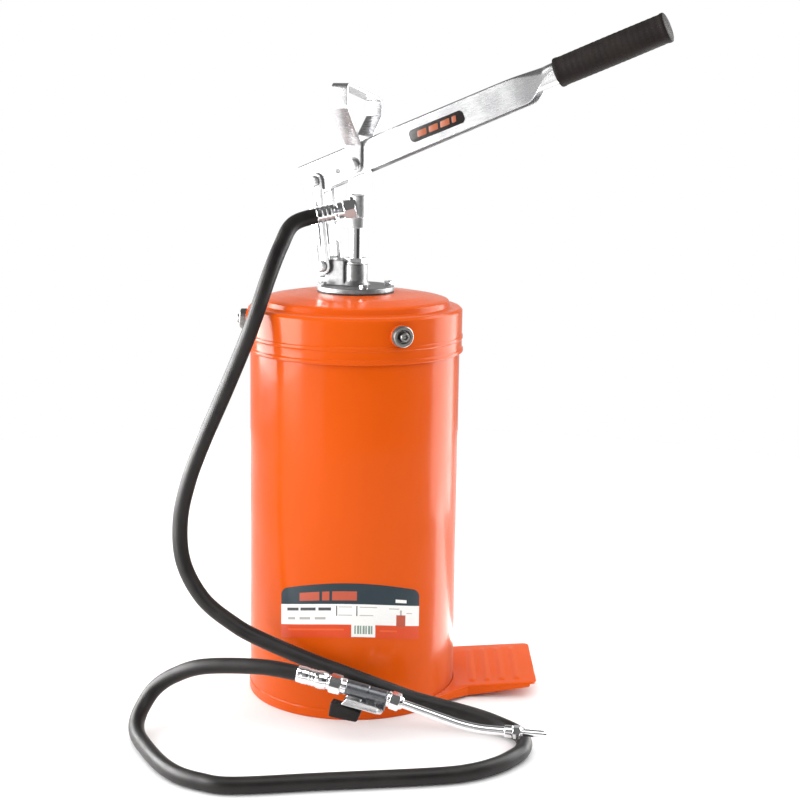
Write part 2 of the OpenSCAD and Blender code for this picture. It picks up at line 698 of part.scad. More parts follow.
module hose_upper() {
    c = centres(upper_points, upper_ring_count);
    color(black) tube([for (i = [2 : len(c) - 1]) c[i]], directions([for (i = [2 : len(c) - 1]) c[i]],
        outlet_dir, joint_dir), hose_r);
}
module hose_lower() {
    c = centres(lower_points, lower_ring_count);
    start = c[0] + hose_gap * joint_dir;
    color(black) tube(concat([start], [for (i = [1 : len(c) - 1]) c[i]]),
        directions(c, joint_dir, gun_dir), hose_r);
}

// ---- trigger gun ----
trigger_pivot = [95.5, -12.3];    // in the gun's XZ plane
stem_x = 76;
body_end = 99;
nose_drop = 4.5;                  // fall of the nose below the body's axis, in degrees

// The nose with its tube starts at the front of the body
module nose_frame() {
    gun_frame() translate([body_end, 0, 0]) rotate([0, nose_drop, 0]) children();
}
module gun_ferrule() {
    color(steel) gun_frame() difference() {
        union() {
            along_x(0.1, 9.3, 33);
            along_x(5, 9.8, 4);
            along_x(22, 9.9, 7);
        }
        along_x(-1, 5, 40);
    }
}
module gun_inlet_nut() {
    color(steel) gun_frame() difference() {
        union() {
            along_x(33.2, 8.2, 3);
            hex_along_x(36, 18, 13, 4);
            along_x(48.9, 8.6, 5.8);
        }
        along_x(20, 4, 40);
    }
}
module gun_body() {
    color("#8b8d90") gun_frame() difference() {
        union() {
            along_x(54.8, 8.3, 24);
            along_x(78, 7.7, body_end - 78);
            translate([89.5, -4, -15]) cube([9.5, 8, 12]);
            translate([stem_x, 0, -11]) cylinder(r = 5, h = 10);
        }
        along_x(40, 3.6, 70);
        translate([stem_x, 0, -20]) cylinder(r = 2 + fit, h = 20);
        translate([stem_x, 0, 0]) cylinder(r = 3.6, h = 6);
        translate([trigger_pivot[0], 0, trigger_pivot[1]]) cross_bar(2, 30);
    }
}
module gun_front_nut() {
    color(steel) nose_frame() difference() {
        union() {
            along_x(-6, 3, 8);
            along_x(1, 8.4, 3);
            translate([3.9, 0, 0]) rotate([0, 90, 0]) hexagon(17, 11);
            translate([14.8, 0, 0]) rotate([0, 90, 0]) cylinder(r1 = 7.2, r2 = 5.8, h = 3.5);
        }
        along_x(-8, 2, 16);
        along_x(5, tube_r, 30);
    }
}
tube_r = 4.6;
tube_bore = 2.2;
bend_x = 72.7;                    // start of the tube's bend, from the nose
bend_r = 150;
tip_bend = 15.9;                  // angle that the tube turns up by
module tube_arc(r) {
    translate([bend_x, 0, bend_r]) rotate([90, 0, 0]) rotate([0, 0, -90])
        rotate_extrude(angle = tip_bend, $fn = 360) translate([bend_r, 0]) circle(r = r, $fn = 48);
}
module tip_frame() {
    nose_frame() translate([bend_x + bend_r * sin(tip_bend), 0, bend_r * (1 - cos(tip_bend))])
        rotate([0, -tip_bend, 0]) children();
}
module gun_tube() {
    color(steel) difference() {
        union() {
            nose_frame() along_x(5.2, tube_r, bend_x - 5.2);
            nose_frame() tube_arc(tube_r);
            tip_frame() along_x(0, tube_r, 28);
        }
        nose_frame() along_x(4, tube_bore, bend_x - 4);
        nose_frame() tube_arc(tube_bore);
        tip_frame() along_x(0, tube_bore, 30);
    }
}
module gun_coupler() {
    color(steel) tip_frame() difference() {
        along_x(14.8, 6.4, 8.8);
        along_x(10, tube_r, 20);
    }
}
module gun_tip_nut() {
    color(steel) tip_frame() difference() {
        union() {
            translate([23.8, 0, 0]) rotate([0, 90, 0]) hexagon(12.5, 8);
            along_x(31.7, 5, 2);
        }
        along_x(20, tube_r, 8.2);
        along_x(27, 3, 20);
    }
}
tip_len = 25;
module gun_tip() {
    color(steel) tip_frame() difference() {
        union() {
            along_x(28.4, 3, 6);
            along_x(33.9, 3.8, tip_len - 3);
            translate([33.9 + tip_len - 3, 0, 0]) rotate([0, 90, 0]) cylinder(r1 = 3.8, r2 = 3, h = 3);
        }
        along_x(20, 1.6, 60);
    }
}
// The trigger has two cheeks beside the body, a web below it and a tongue inside the rubber sleeve
trigger_in = 9;                   // half of the gap between the cheeks
trigger_t = 1.4;
cheek = [[54, -16.6], [93, -16.6], [98.4, -14.6], [98.9, -11], [96.4, -9.6], [58.7, -8.5]];
tongue = [[55, -15.6], [71, -15.6], [70, -31], [48, -32], [48, -22], [55, -20]];
module trigger_plate(points, y, t) {
    translate([0, y + t, 0]) rotate([90, 0, 0]) linear_extrude(t) polygon(points);
}
module gun_trigger() {
    color(steel) gun_frame() difference() {
        union() {
            for (y = [-trigger_in - trigger_t, trigger_in])
                trigger_plate(cheek, y, trigger_t);
            translate([54, -trigger_in - 0.7, -16.6]) cube([34, 2 * trigger_in + 1.4, 1.6]);
            trigger_plate(tongue, -1.5, 3);
        }
        translate([trigger_pivot[0], 0, trigger_pivot[1]]) cross_bar(2 + fit, 30);
    }
}
module trigger_sleeve() {
    color(black) gun_frame() difference() {
        trigger_plate([[41.8, -18.6], [42.6, -35.6], [73.6, -33.4], [75.9, -20.6]], -7, 14);
        trigger_plate(tongue, -1.5, 3);
    }
}
module trigger_pin() {
    color(steel) gun_frame() translate([trigger_pivot[0], 0, trigger_pivot[1]]) {
        cross_bar(2, 23);
        for (s = [-1, 1])
            translate([0, s * (trigger_in + trigger_t + 1.2), 0]) cross_bar(3.2, 1.6);
    }
}
// The stem that the trigger lifts, and the outline of the coil spring that shuts it
module valve_stem() {
    color(steel) gun_frame() translate([stem_x, 0, -14.6]) cylinder(r = 2, h = 14.6);
}
module valve_spring() {
    color(steel) gun_frame() translate([stem_x, 0, 0.1]) ring(3.3, 2.3, 5.7);
}

drum_shell();
drum_bottom();
base_ring();
foot_pedal();
drum_label();
lid();
lid_gasket();
clamp_lugs();
clamp_screws();
clamp_washers();
clamp_nuts();
pump_flange();
flange_gasket();
flange_bolts();
flange_nuts();
gland_nut();
rod_packing();
pump_barrel();
foot_valve_body();
foot_valve_ball();
foot_valve_pin();
suction_strainer();
piston_rod();
piston();
piston_cup();
delivery_ball();
pump_head();
carry_strap();
head_pin();
hose_nipple();
hose_nut();
upper_ferrule();
link_plates();
link_top_pin();
link_lower_pin();
lever_channel();
handle_bar();
hand_grip();
lever_badge();
hose_upper();
hose_lower();
gun_ferrule();
gun_inlet_nut();
gun_body();
gun_front_nut();
gun_tube();
gun_coupler();
gun_tip_nut();
gun_tip();
gun_trigger();
trigger_sleeve();
trigger_pin();
valve_spring();
valve_stem();
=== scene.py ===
import bpy
import bmesh
import json
import math
from mathutils import Matrix, Vector

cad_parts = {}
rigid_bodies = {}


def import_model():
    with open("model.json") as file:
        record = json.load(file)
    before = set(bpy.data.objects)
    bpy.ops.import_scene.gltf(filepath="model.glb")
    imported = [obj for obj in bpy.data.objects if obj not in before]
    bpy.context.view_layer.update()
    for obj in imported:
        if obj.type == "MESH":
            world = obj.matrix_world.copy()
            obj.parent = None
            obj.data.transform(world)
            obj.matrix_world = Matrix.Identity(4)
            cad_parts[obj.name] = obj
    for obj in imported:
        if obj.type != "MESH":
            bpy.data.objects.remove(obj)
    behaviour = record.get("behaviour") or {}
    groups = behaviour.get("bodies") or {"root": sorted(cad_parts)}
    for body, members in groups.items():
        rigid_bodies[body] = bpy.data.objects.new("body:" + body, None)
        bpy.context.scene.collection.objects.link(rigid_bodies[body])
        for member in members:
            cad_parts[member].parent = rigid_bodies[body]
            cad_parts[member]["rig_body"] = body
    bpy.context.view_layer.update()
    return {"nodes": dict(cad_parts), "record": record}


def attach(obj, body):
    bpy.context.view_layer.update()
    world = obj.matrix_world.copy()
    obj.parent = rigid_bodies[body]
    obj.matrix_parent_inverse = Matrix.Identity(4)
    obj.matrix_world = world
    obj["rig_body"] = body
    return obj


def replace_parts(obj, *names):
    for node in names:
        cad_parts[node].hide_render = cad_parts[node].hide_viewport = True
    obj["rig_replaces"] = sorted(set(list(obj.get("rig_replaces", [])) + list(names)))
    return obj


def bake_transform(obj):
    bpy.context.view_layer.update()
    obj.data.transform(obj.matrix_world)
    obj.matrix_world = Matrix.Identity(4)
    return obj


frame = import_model()
nodes = frame["nodes"]
scene = bpy.context.scene
MM = 0.001


# ---- frames: +X along the lever, the outlet, the gun, its nose and its tip ----
def turn(degrees, axis):
    return Matrix.Rotation(math.radians(degrees), 4, axis)


def move(x, y, z):
    return Matrix.Translation((x * MM, y * MM, z * MM))


DRUM_R, LID_R = 117.5, 120
CLAMP_TURN, CLAMP_Z = 25, 426
HOSE_R = 8.5
HEAD_PIN = (4, 601)  # x and z in the pump's plane, as for the link's pins
LINK_LOW, LINK_HIGH = Vector((-33.5, 487.5)), Vector((-44, 581.5))
SPOUT_STRAIGHT, SPOUT_BEND_R, SPOUT_BEND = 72.7, 150, 15.9
TRIGGER_PIN = (95.5, -12.3)

HERE = Matrix.Identity(4)
ALONG = turn(90, "Y")  # Z onto the frame's own X
UPRIGHT = turn(90, "X")  # a flat outline's Y onto Z
PUMP = turn(-22, "Z")
LEVER = PUMP @ move(HEAD_PIN[0], 0, HEAD_PIN[1]) @ turn(-22.2, "Y")
OUTLET = move(3, -21, 555.5) @ turn(187, "Z") @ turn(12, "Y")
GUN = move(-53, -165, 70.2) @ turn(-10.8, "Z") @ turn(11.3, "Y")
NOSE = GUN @ move(99, 0, 0) @ turn(4.5, "Y")


def bend_point(angle):
    """Where the spout's bend is after an angle in radians, in the nose's frame."""
    return SPOUT_STRAIGHT + SPOUT_BEND_R * math.sin(angle), 0, SPOUT_BEND_R * (1 - math.cos(angle))


TIP = NOSE @ move(*bend_point(math.radians(SPOUT_BEND))) @ turn(-SPOUT_BEND, "Y")
CLAMPS = [turn(CLAMP_TURN - 90 + 120 * i, "Z") @ move(LID_R, 0, CLAMP_Z) @ ALONG for i in range(3)]

# ---- camera ----
camera = bpy.data.objects.new("camera", bpy.data.cameras.new("camera"))
scene.collection.objects.link(camera)
scene.camera = camera
camera.data.sensor_width = 36
camera.data.lens = 75.1
camera.matrix_world = Matrix.Translation((0.0515, -1.8583, 0.6801)) @ turn(90 - 10.46, "X") @ turn(0.86, "Z")


# ---- materials ----
class Look:
    """A principled material with short calls for its texture nodes."""

    def __init__(self, name, colour, rough, metal=0.0, **sockets):
        self.mat = bpy.data.materials.new(name)
        self.mat.use_nodes = True
        self.tree = self.mat.node_tree
        self.bsdf = self.tree.nodes["Principled BSDF"]
        self.bsdf.inputs["Base Color"].default_value = (*colour, 1)
        self.bsdf.inputs["Roughness"].default_value = rough
        self.bsdf.inputs["Metallic"].default_value = metal
        for key, value in sockets.items():
            self.bsdf.inputs[key.replace("_", " ")].default_value = value
        self.at = self.node("ShaderNodeTexCoord").outputs["Object"]
        self.normal = None

    def node(self, kind, **inputs):
        n = self.tree.nodes.new(kind)
        for key, value in inputs.items():
            socket = n.inputs[key.replace("_", " ")]
            if isinstance(value, bpy.types.NodeSocket):
                self.tree.links.new(value, socket)
            else:
                socket.default_value = value
        return n

    def math(self, operation, a, b):
        n = self.tree.nodes.new("ShaderNodeMath")
        n.operation = operation
        for i, value in enumerate((a, b)):
            if isinstance(value, bpy.types.NodeSocket):
                self.tree.links.new(value, n.inputs[i])
            else:
                n.inputs[i].default_value = value
        return n.outputs[0]

    def noise(self, scale, detail=3.0, stretch=None, rough=0.5):
        at = self.at
        if stretch:
            at = self.node("ShaderNodeMapping", Vector=at, Scale=stretch).outputs[0]
        n = self.node("ShaderNodeTexNoise", Vector=at, Scale=scale, Detail=detail, Roughness=rough)
        return n.outputs["Fac"]

    def spread(self, value, low, high, a=0.3, b=0.7):
        n = self.node("ShaderNodeMapRange", Value=value, From_Min=a, From_Max=b, To_Min=low, To_Max=high)
        return n.outputs[0]

    def tint(self, value, low, high):
        """Base colour between two colours."""
        n = self.tree.nodes.new("ShaderNodeMix")
        n.data_type = "RGBA"
        self.tree.links.new(value, n.inputs[0])
        n.inputs[6].default_value = (*low, 1)
        n.inputs[7].default_value = (*high, 1)
        return n.outputs[2]

    def over(self, value, below, above):
        """Mixes two colour sockets."""
        n = self.tree.nodes.new("ShaderNodeMix")
        n.data_type = "RGBA"
        for i, v in ((0, value), (6, below), (7, above)):
            if isinstance(v, bpy.types.NodeSocket):
                self.tree.links.new(v, n.inputs[i])
            else:
                n.inputs[i].default_value = (*v, 1)
        return n.outputs[2]

    def rough(self, value):
        self.tree.links.new(value, self.bsdf.inputs["Roughness"])

    def paint(self, value):
        self.tree.links.new(value, self.bsdf.inputs["Base Color"])

    def bump(self, value, distance, strength=1.0):
        n = self.node("ShaderNodeBump", Height=value, Distance=distance, Strength=strength)
        if self.normal:
            self.tree.links.new(self.normal, n.inputs["Normal"])
        self.normal = n.outputs[0]
        self.tree.links.new(self.normal, self.bsdf.inputs["Normal"])


def shade(colour, f):
    return tuple(min(1.0, c * f) for c in colour)


MIRRORED_PAINT = (0.36, 0.34, 0.33)


def paint_look(name, colour):
    """Gloss enamel on pressed sheet: a slow waviness, orange peel and a faint handling haze. In mirror rays
    it turns grey, so that bright metal near it doesn't show orange patches."""
    m = Look(name, colour, 0.2, Coat_Weight=0.07, Coat_Roughness=0.06, Specular_IOR_Level=0.08)
    slow = m.noise(7, 2)
    haze = m.noise(28, 5)
    waves = m.tint(m.spread(slow, 0, 1), shade(colour, 0.94), shade(colour, 1.05))
    enamel = m.over(m.spread(haze, 0, 1), waves, shade(colour, 0.98))
    in_mirror = m.math("MULTIPLY", m.node("ShaderNodeLightPath").outputs["Is Glossy Ray"], 0.85)
    m.paint(m.over(in_mirror, enamel, MIRRORED_PAINT))
    m.rough(m.spread(haze, 0.15, 0.27))
    m.bump(slow, 0.006, 0.35)
    m.bump(m.noise(700, 2), 0.00012, 0.5)
    return m.mat


def zinc_look(name, colour, rough=(0.2, 0.34), grain=(60, 2200, 2200)):
    """Zinc-plated sheet: a fine drawn grain along X and cloudy passivation."""
    m = Look(name, colour, rough[0], 1.0)
    lines = m.noise(1, 4, grain, 0.6)
    cloud = m.noise(45, 4)
    red, green, blue = shade(colour, 0.93)
    clouds = m.tint(m.spread(cloud, 0, 1), (red, green, min(1, blue * 1.03)), shade(colour, 1.04))
    m.paint(m.over(m.spread(lines, 0, 0.35), clouds, shade(colour, 0.86)))
    m.rough(m.spread(m.math("ADD", m.math("MULTIPLY", lines, 0.6), m.math("MULTIPLY", cloud, 0.4)), *rough))
    m.bump(lines, 0.00003, 0.35)
    m.bump(cloud, 0.0006, 0.15)
    return m.mat


def cast_look(name, colour, rough=(0.3, 0.48)):
    """A zinc-plated casting: a sandy grain with soft pits."""
    m = Look(name, colour, rough[0], 1.0)
    grain = m.noise(900, 3)
    pits = m.noise(260, 5, rough=0.65)
    m.paint(m.tint(m.spread(pits, 0, 1, 0.35, 0.6), shade(colour, 0.82), shade(colour, 1.04)))
    m.rough(m.spread(grain, *rough))
    m.bump(grain, 0.00012, 0.5)
    m.bump(pits, 0.0003, 0.35)
    return m.mat


def chrome_look(name, colour, rough=(0.06, 0.16)):
    """Bright nickel or chrome with turning lines, smudges and hair scratches."""
    m = Look(name, colour, rough[0], 1.0)
    smudge = m.noise(60, 5, rough=0.6)
    hair = m.noise(1, 3, (1400, 60, 60), 0.6)
    m.paint(m.tint(m.spread(smudge, 0, 1), shade(colour, 0.93), shade(colour, 1.03)))
    m.rough(m.spread(smudge, *rough))
    m.bump(hair, 0.00003, 0.4)
    return m.mat


def rubber_look(name, colour, rough=(0.38, 0.55), grain=1100, shine=0.22):
    """Moulded rubber or foam: a fine grain and dusty patches, which are a little rougher."""
    m = Look(name, colour, rough[0], 0.0, Specular_IOR_Level=shine)
    fine = m.noise(grain, 3)
    dust = m.noise(38, 4, rough=0.6)
    m.paint(m.tint(m.spread(dust, 0, 1, 0.4, 0.75), colour, shade(colour, 1.9)))
    m.rough(m.spread(dust, *rough))
    m.bump(fine, 0.00015, 0.45)
    return m.mat


def hose_look():
    """Cloth-wrapped rubber hose: the fabric's print in fine diagonal ribs, with dust in it."""
    m = Look("hose_rubber", (0.009, 0.0075, 0.007), 0.4, 0.0, Specular_IOR_Level=0.3)
    uv = m.node("ShaderNodeUVMap").outputs[0]
    waves = []
    for angle in (0.7, -0.7):
        at = m.node("ShaderNodeMapping", Vector=uv, Rotation=(0, 0, angle)).outputs[0]
        wave = m.node("ShaderNodeTexWave", Vector=at, Scale=150.0, Distortion=0.4, Detail=1.0)
        waves.append(wave.outputs["Fac"])
    weave = m.math("MULTIPLY", *waves)
    dust = m.noise(30, 5, rough=0.65)
    m.paint(m.tint(m.spread(dust, 0, 1, 0.4, 0.75), (0.007, 0.0055, 0.005), (0.015, 0.0125, 0.0115)))
    m.rough(m.spread(dust, 0.34, 0.52))
    m.bump(weave, 0.00022, 0.5)
    m.bump(m.noise(500, 2), 0.0001, 0.3)
    return m.mat


def print_look(name, colour, rough=(0.28, 0.42)):
    """Printed film: dot grain in the ink and a soft laminate ripple."""
    m = Look(name, colour, rough[0], 0.0, Coat_Weight=0.1, Coat_Roughness=0.15, Specular_IOR_Level=0.25)
    dots = m.noise(1600, 2)
    ripple = m.noise(60, 2)
    m.paint(m.tint(m.spread(dots, 0, 1), shade(colour, 0.92), shade(colour, 1.04)))
    m.rough(m.spread(ripple, *rough))
    m.bump(ripple, 0.0006, 0.2)
    return m.mat


ORANGE = (0.66, 0.087, 0.004)
looks = {
    "orange_paint": paint_look("orange_paint", ORANGE),
    "label_print": print_look("label_print", (0.86, 0.85, 0.83)),
    "zinc_plate": zinc_look("zinc_plate", (0.60, 0.60, 0.60)),
    "cast_zinc": cast_look("cast_zinc", (0.56, 0.56, 0.56)),
    "chrome_rod": chrome_look("chrome_rod", (0.86, 0.86, 0.87)),
    "bearing_steel": chrome_look("bearing_steel", (0.8, 0.8, 0.82), (0.04, 0.1)),
    "gun_casting": cast_look("gun_casting", (0.15, 0.155, 0.165), (0.22, 0.4)),
    "brass_parts": chrome_look("brass_parts", (0.66, 0.46, 0.2), (0.16, 0.3)),
    "seal_rubber": rubber_look("seal_rubber", (0.02, 0.02, 0.02)),
    "hose_rubber": hose_look(),
    "grip_foam": rubber_look("grip_foam", (0.014, 0.0105, 0.0095), (0.6, 0.85), 600, 0.1),
    "badge_print": print_look("badge_print", (0.018, 0.014, 0.013), (0.2, 0.34)),
}
dull_zinc = cast_look("dull_zinc", (0.26, 0.25, 0.24), (0.3, 0.45))
# a darker copy of the cast zinc for the flange and its ear: painted shade, so they read mid-grey beside the bright
# head
shaded_flange_cast = cast_look("shaded_flange_cast", (0.26, 0.26, 0.26), (0.34, 0.52))
sleeve_rubber = rubber_look("sleeve_rubber", (0.008, 0.006, 0.0055), (0.45, 0.7), 500)
slate = print_look("label_slate", (0.016, 0.032, 0.042))
label_red = print_look("label_red", (0.46, 0.085, 0.045))
label_warm = print_look("label_warm", (0.66, 0.062, 0.010))
label_pale = print_look("label_pale", (0.74, 0.11, 0.03))
label_ink = print_look("label_ink", (0.06, 0.06, 0.065))
label_grey = print_look("label_grey", (0.42, 0.40, 0.38))
label_green = print_look("label_green", (0.22, 0.30, 0.25))
badge_ink = print_look("badge_ink", (0.42, 0.12, 0.055), (0.25, 0.4))

for row in frame["record"]["subparts"]:
    mesh = nodes[row["node"]].data
    mesh.materials.clear()
    mesh.materials.append(looks[row["material_slot"]])
slot_of = {row["node"]: row["material_slot"] for row in frame["record"]["subparts"]}
body_of = {n: b for b, held in frame["record"]["behaviour"]["bodies"].items() for n in held}


# ---- mesh helpers; lengths in millimetres ----
def add(name, mesh, at, stands_for, look=None, angle=35):
    """Adds a mesh as a piece that stands for CAD nodes; body and slot come from the first of them."""
    obj = bpy.data.objects.new(name, mesh)
    scene.collection.objects.link(obj)
    obj.matrix_world = at
    mesh.polygons.foreach_set("use_smooth", [True] * len(mesh.polygons))
    mesh.set_sharp_from_angle(angle=math.radians(angle))
    if look is not False:
        mesh.materials.clear()
        mesh.materials.append(look or looks[slot_of[stands_for[0]]])
    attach(obj, body_of[stands_for[0]])
    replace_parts(obj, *stands_for)
    return obj


def mesh_of(points, faces):
    """A checked mesh from points in millimetres."""
    mesh = bpy.data.meshes.new("m")
    mesh.from_pydata([Vector(p) * MM for p in points], [], faces)
    mesh.validate()
    mesh.update()
    return mesh


def outward(mesh, weld=None):
    """Turns the normals outwards, after merging points closer than weld, in metres."""
    bm = bmesh.new()
    bm.from_mesh(mesh)
    if weld:
        bmesh.ops.remove_doubles(bm, verts=bm.verts, dist=weld)
    bmesh.ops.recalc_face_normals(bm, faces=bm.faces)
    bm.to_mesh(mesh)
    bm.free()
    return mesh


def soft(points, r=0.4, n=3, closed=True):
    """Rounds the corners of a 2-D outline; a point may carry its own radius as a third number."""
    out, count = [], len(points)
    for i, p in enumerate(points):
        if not closed and i in (0, count - 1):
            out.append((p[0], p[1]))
            continue
        b = Vector(p[:2])
        a, c = Vector(points[i - 1][:2]), Vector(points[(i + 1) % count][:2])
        radius = p[2] if len(p) > 2 else r
        u, v = (a - b), (c - b)
        angle = u.angle(v) if u.length > 1e-9 and v.length > 1e-9 else math.pi
        if radius <= 0 or abs(angle - math.pi) < 0.03:
            out.append((b.x, b.y))
            continue
        cut = min(radius / math.tan(angle / 2), 0.48 * u.length, 0.48 * v.length)
        s, e = b + u.normalized() * cut, b + v.normalized() * cut
        for k in range(n + 1):
            t = k / n
            q = s * (1 - t) ** 2 + b * 2 * t * (1 - t) + e * t * t
            out.append((q.x, q.y))
    return out


def lathe(profile, seg=96, closed=True):
    """Turns rows of (radius, z) about Z; a radius may be a function of the angle."""
    points, faces, rows = [], [], []
    for r, z in profile:
        if not callable(r) and r < 1e-6:
            rows.append([len(points)] * seg)
            points.append((0, 0, z))
            continue
        rows.append(list(range(len(points), len(points) + seg)))
        for k in range(seg):
            a = 2 * math.pi * k / seg
            q = r(a) if callable(r) else r
            points.append((q * math.cos(a), q * math.sin(a), z))
    pairs = list(zip(rows, rows[1:])) + ([(rows[-1], rows[0])] if closed else [])
    for low, high in pairs:
        for k in range(seg):
            j = (k + 1) % seg
            face = [low[k], low[j], high[j], high[k]]
            face = [v for i, v in enumerate(face) if v != face[i - 1]]
            if len(face) > 2:
                faces.append(face)
    return outward(mesh_of(points, faces))


def hex_rows(flats, z0, z1, inner, chamfer=0.95):
    """Rows of a hexagon bar with turned chamfers, from its lower face round to its upper one."""
    half = flats / 2
    slope = 1.73  # the chamfer's cone gains this much radius for its height, which is 30 degrees
    deep = (flats / math.sqrt(3) - half * chamfer) / slope

    def row(d):
        cone = half * chamfer + d * slope
        return lambda a: min(half / math.cos((a + math.pi / 6) % (math.pi / 3) - math.pi / 6), cone)

    steps = [0.2, 0.4, 0.6, 0.8, 1.0]
    rows = [(inner, z0), (row(0), z0)] + [(row(s * deep), z0 + s * deep) for s in steps]
    return rows + [(row(s * deep), z1 - s * deep) for s in reversed(steps)] + [(row(0), z1), (inner, z1)]


def plate(outlines, thick, edge=0.4, res=2):
    """A flat plate in the XY plane, centred on z = 0, with rounded edges; later outlines are holes."""
    curve = bpy.data.curves.new("c", "CURVE")
    curve.dimensions, curve.fill_mode = "2D", "BOTH"
    curve.extrude = (thick / 2 - edge) * MM
    curve.bevel_depth, curve.bevel_resolution, curve.offset = edge * MM, res, -edge * MM
    for outline in outlines:
        spline = curve.splines.new("POLY")
        spline.points.add(len(outline) - 1)
        for p, q in zip(spline.points, outline):
            p.co = (q[0] * MM, q[1] * MM, 0, 1)
        spline.use_cyclic_u = True
    obj = bpy.data.objects.new("c", curve)
    scene.collection.objects.link(obj)
    bpy.context.view_layer.update()
    mesh = bpy.data.meshes.new_from_object(obj.evaluated_get(bpy.context.evaluated_depsgraph_get()))
    bpy.data.objects.remove(obj)
    return outward(mesh, weld=2e-6)


def circle(x, y, r, n=40):
    """A flat outline."""
    return [(x + r * math.cos(2 * math.pi * k / n), y + r * math.sin(2 * math.pi * k / n)) for k in range(n)]


def joined(parts):
    """One mesh from (mesh, matrix) pairs."""
    bm = bmesh.new()
    for mesh, at in parts:
        before = set(bm.verts)
        bm.from_mesh(mesh)
        bmesh.ops.transform(bm, matrix=at, verts=[v for v in bm.verts if v not in before])
    whole = bpy.data.meshes.new("m")
    bm.to_mesh(whole)
    bm.free()
    return whole


def settled(mesh, *modifiers):
    """The mesh with modifiers applied; each is (type, {setting: value})."""
    obj = bpy.data.objects.new("s", mesh)
    scene.collection.objects.link(obj)
    for kind, settings in modifiers:
        modifier = obj.modifiers.new(kind, kind)
        for key, value in settings.items():
            setattr(modifier, key, value)
    bpy.context.view_layer.update()
    done = bpy.data.meshes.new_from_object(obj.evaluated_get(bpy.context.evaluated_depsgraph_get()))
    bpy.data.objects.remove(obj)
    return done


def cast(node, voxel, rounds):
    """A CAD solid with the soft inner and outer corners of a casting."""
    mesh = joined([(nodes[node].data, HERE)])
    mesh.materials.clear()
    return settled(mesh, ("WELD", {"merge_threshold": 1e-5}),
                   ("REMESH", {"mode": "VOXEL", "voxel_size": voxel * MM}),
                   ("SMOOTH", {"factor": 0.5, "iterations": rounds}))


def sweep(path, r, sides=28):
    """A round tube along points in metres; r is a number or a function of the share of the length."""
    points, faces, uv = [], [], []
    count = len(path)
    length = [0.0]
    for a, b in zip(path, path[1:]):
        length.append(length[-1] + (b - a).length)
    side = None
    for i, p in enumerate(path):
        d = (path[min(i + 1, count - 1)] - path[max(i - 1, 0)]).normalized()
        side = d.orthogonal() if side is None else side
        side = (side - d * side.dot(d)).normalized()
        up = d.cross(side)
        q = r(length[i] / length[-1]) if callable(r) else r
        for k in range(sides):
            a = 2 * math.pi * k / sides
            points.append(p + (side * math.cos(a) + up * math.sin(a)) * q * MM)
    for i in range(count - 1):
        for k in range(sides):
            j = (k + 1) % sides
            faces.append([i * sides + k, i * sides + j, (i + 1) * sides + j, (i + 1) * sides + k])
            uv += [(k, i), (k + 1, i), (k + 1, i + 1), (k, i + 1)]
    faces += [list(reversed(range(sides))), list(range((count - 1) * sides, count * sides))]
    uv += [(k, 0) for k in range(sides)] + [(k, count - 1) for k in range(sides)]
    mesh = bpy.data.meshes.new("m")
    mesh.from_pydata(points, [], faces)
    layer = mesh.uv_layers.new(name="UVMap")
    round_length = 2 * math.pi * (r(0) if callable(r) else r) * MM
    for loop, (k, i) in zip(layer.data, uv):
        loop.uv = (k / sides * round_length, length[i])
    mesh.update()
    return mesh


# ---- hose: round the drum's left side, across its front, a loop on the floor and back to the gun ----
outlet_dir = (OUTLET.to_3x3() @ Vector((1, 0, 0))).normalized()
gun_dir = (GUN.to_3x3() @ Vector((1, 0, 0))).normalized()
mouth = OUTLET @ Vector((0.047, 0, 0))
route = [(-68, -36, 536.5), (-80.1, -50, 514), (-91.9, -69, 482), (-108.7, -87, 430), (-133.2, -91, 369),
         (-161.4, -91, 303), (-177.7, -91, 258), (-186.5, -91, 214), (-182.5, -96, 170), (-160.5, -102, 131),
         (-126.8, -108, 105), (-97, -113, 90), (-39, -127, 70.1), (-10, -132, 61.1), (42, -137, 43.4),
         (73, -140, 33.5), (137, -147, 18.9), (166, -156, 11.6), (183.1, -172.2, 8.9), (187.5, -196.8, 8.9),
         (183.1, -220.2, 8.9), (173, -237, 8.9), (156.7, -256.3, 8.9), (128.1, -276.2, 8.9), (87, -288.2, 8.9),
         (-22, -304.7, 8.9), (-107, -317.7, 8.9), (-140.5, -308.6, 8.9), (-165.5, -292.1, 8.9),
         (-185.8, -265.4, 8.9), (-205.2, -227.5, 8.9), (-219.3, -195, 10.2), (-224.2, -170, 14.8),
         (-220.6, -150, 25.2), (-208.7, -138, 41.4), (-187.1, -138, 56.5), (-154, -146, 69.5), (-94, -158, 74.3)]
route = [mouth] + [Vector(p) * MM for p in route] + [GUN.to_translation()]


def curve_through(p, steps):
    """Catmull-Rom points; the first and last of p only give directions."""
    out = []
    for i in range(1, len(p) - 2):
        a, b, c, d = p[i - 1 : i + 3]
        for k in range(steps):
            t = k / steps
            square, cube = 2 * a - 5 * b + 4 * c - d, 3 * b - a - 3 * c + d
            out.append(0.5 * (2 * b + (c - a) * t + square * t * t + cube * t**3))
    return out + [p[-2]]


line = curve_through([mouth - outlet_dir * 0.017] + route + [route[-1] + gun_dir * 0.02], 8)
# its ends go 4 mm into the ferrules
hose_path = [mouth - outlet_dir * 0.004] + line + [route[-1] + gun_dir * 0.004]
hose = add("hose", sweep(hose_path, HOSE_R), HERE, ["hose_lower", "hose_upper"])
# it stands for hose lengths on two bodies, so it doesn't ride the one that add() chose
hose.parent = None
hose.matrix_world = HERE
del hose["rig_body"]
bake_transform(hose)

# ---- drum, base ring and lid ----
SEAM = math.radians(118)


def seamed(a):
    """The drum's outer radius at an angle: a welded seam at its back, with a shallow groove on each side."""
    s = abs((a - SEAM + math.pi) % (2 * math.pi) - math.pi) * DRUM_R
    return DRUM_R + 0.35 * math.exp(-((s / 2.2) ** 2)) - 0.18 * math.exp(-(((s - 4.5) / 1.2) ** 2))


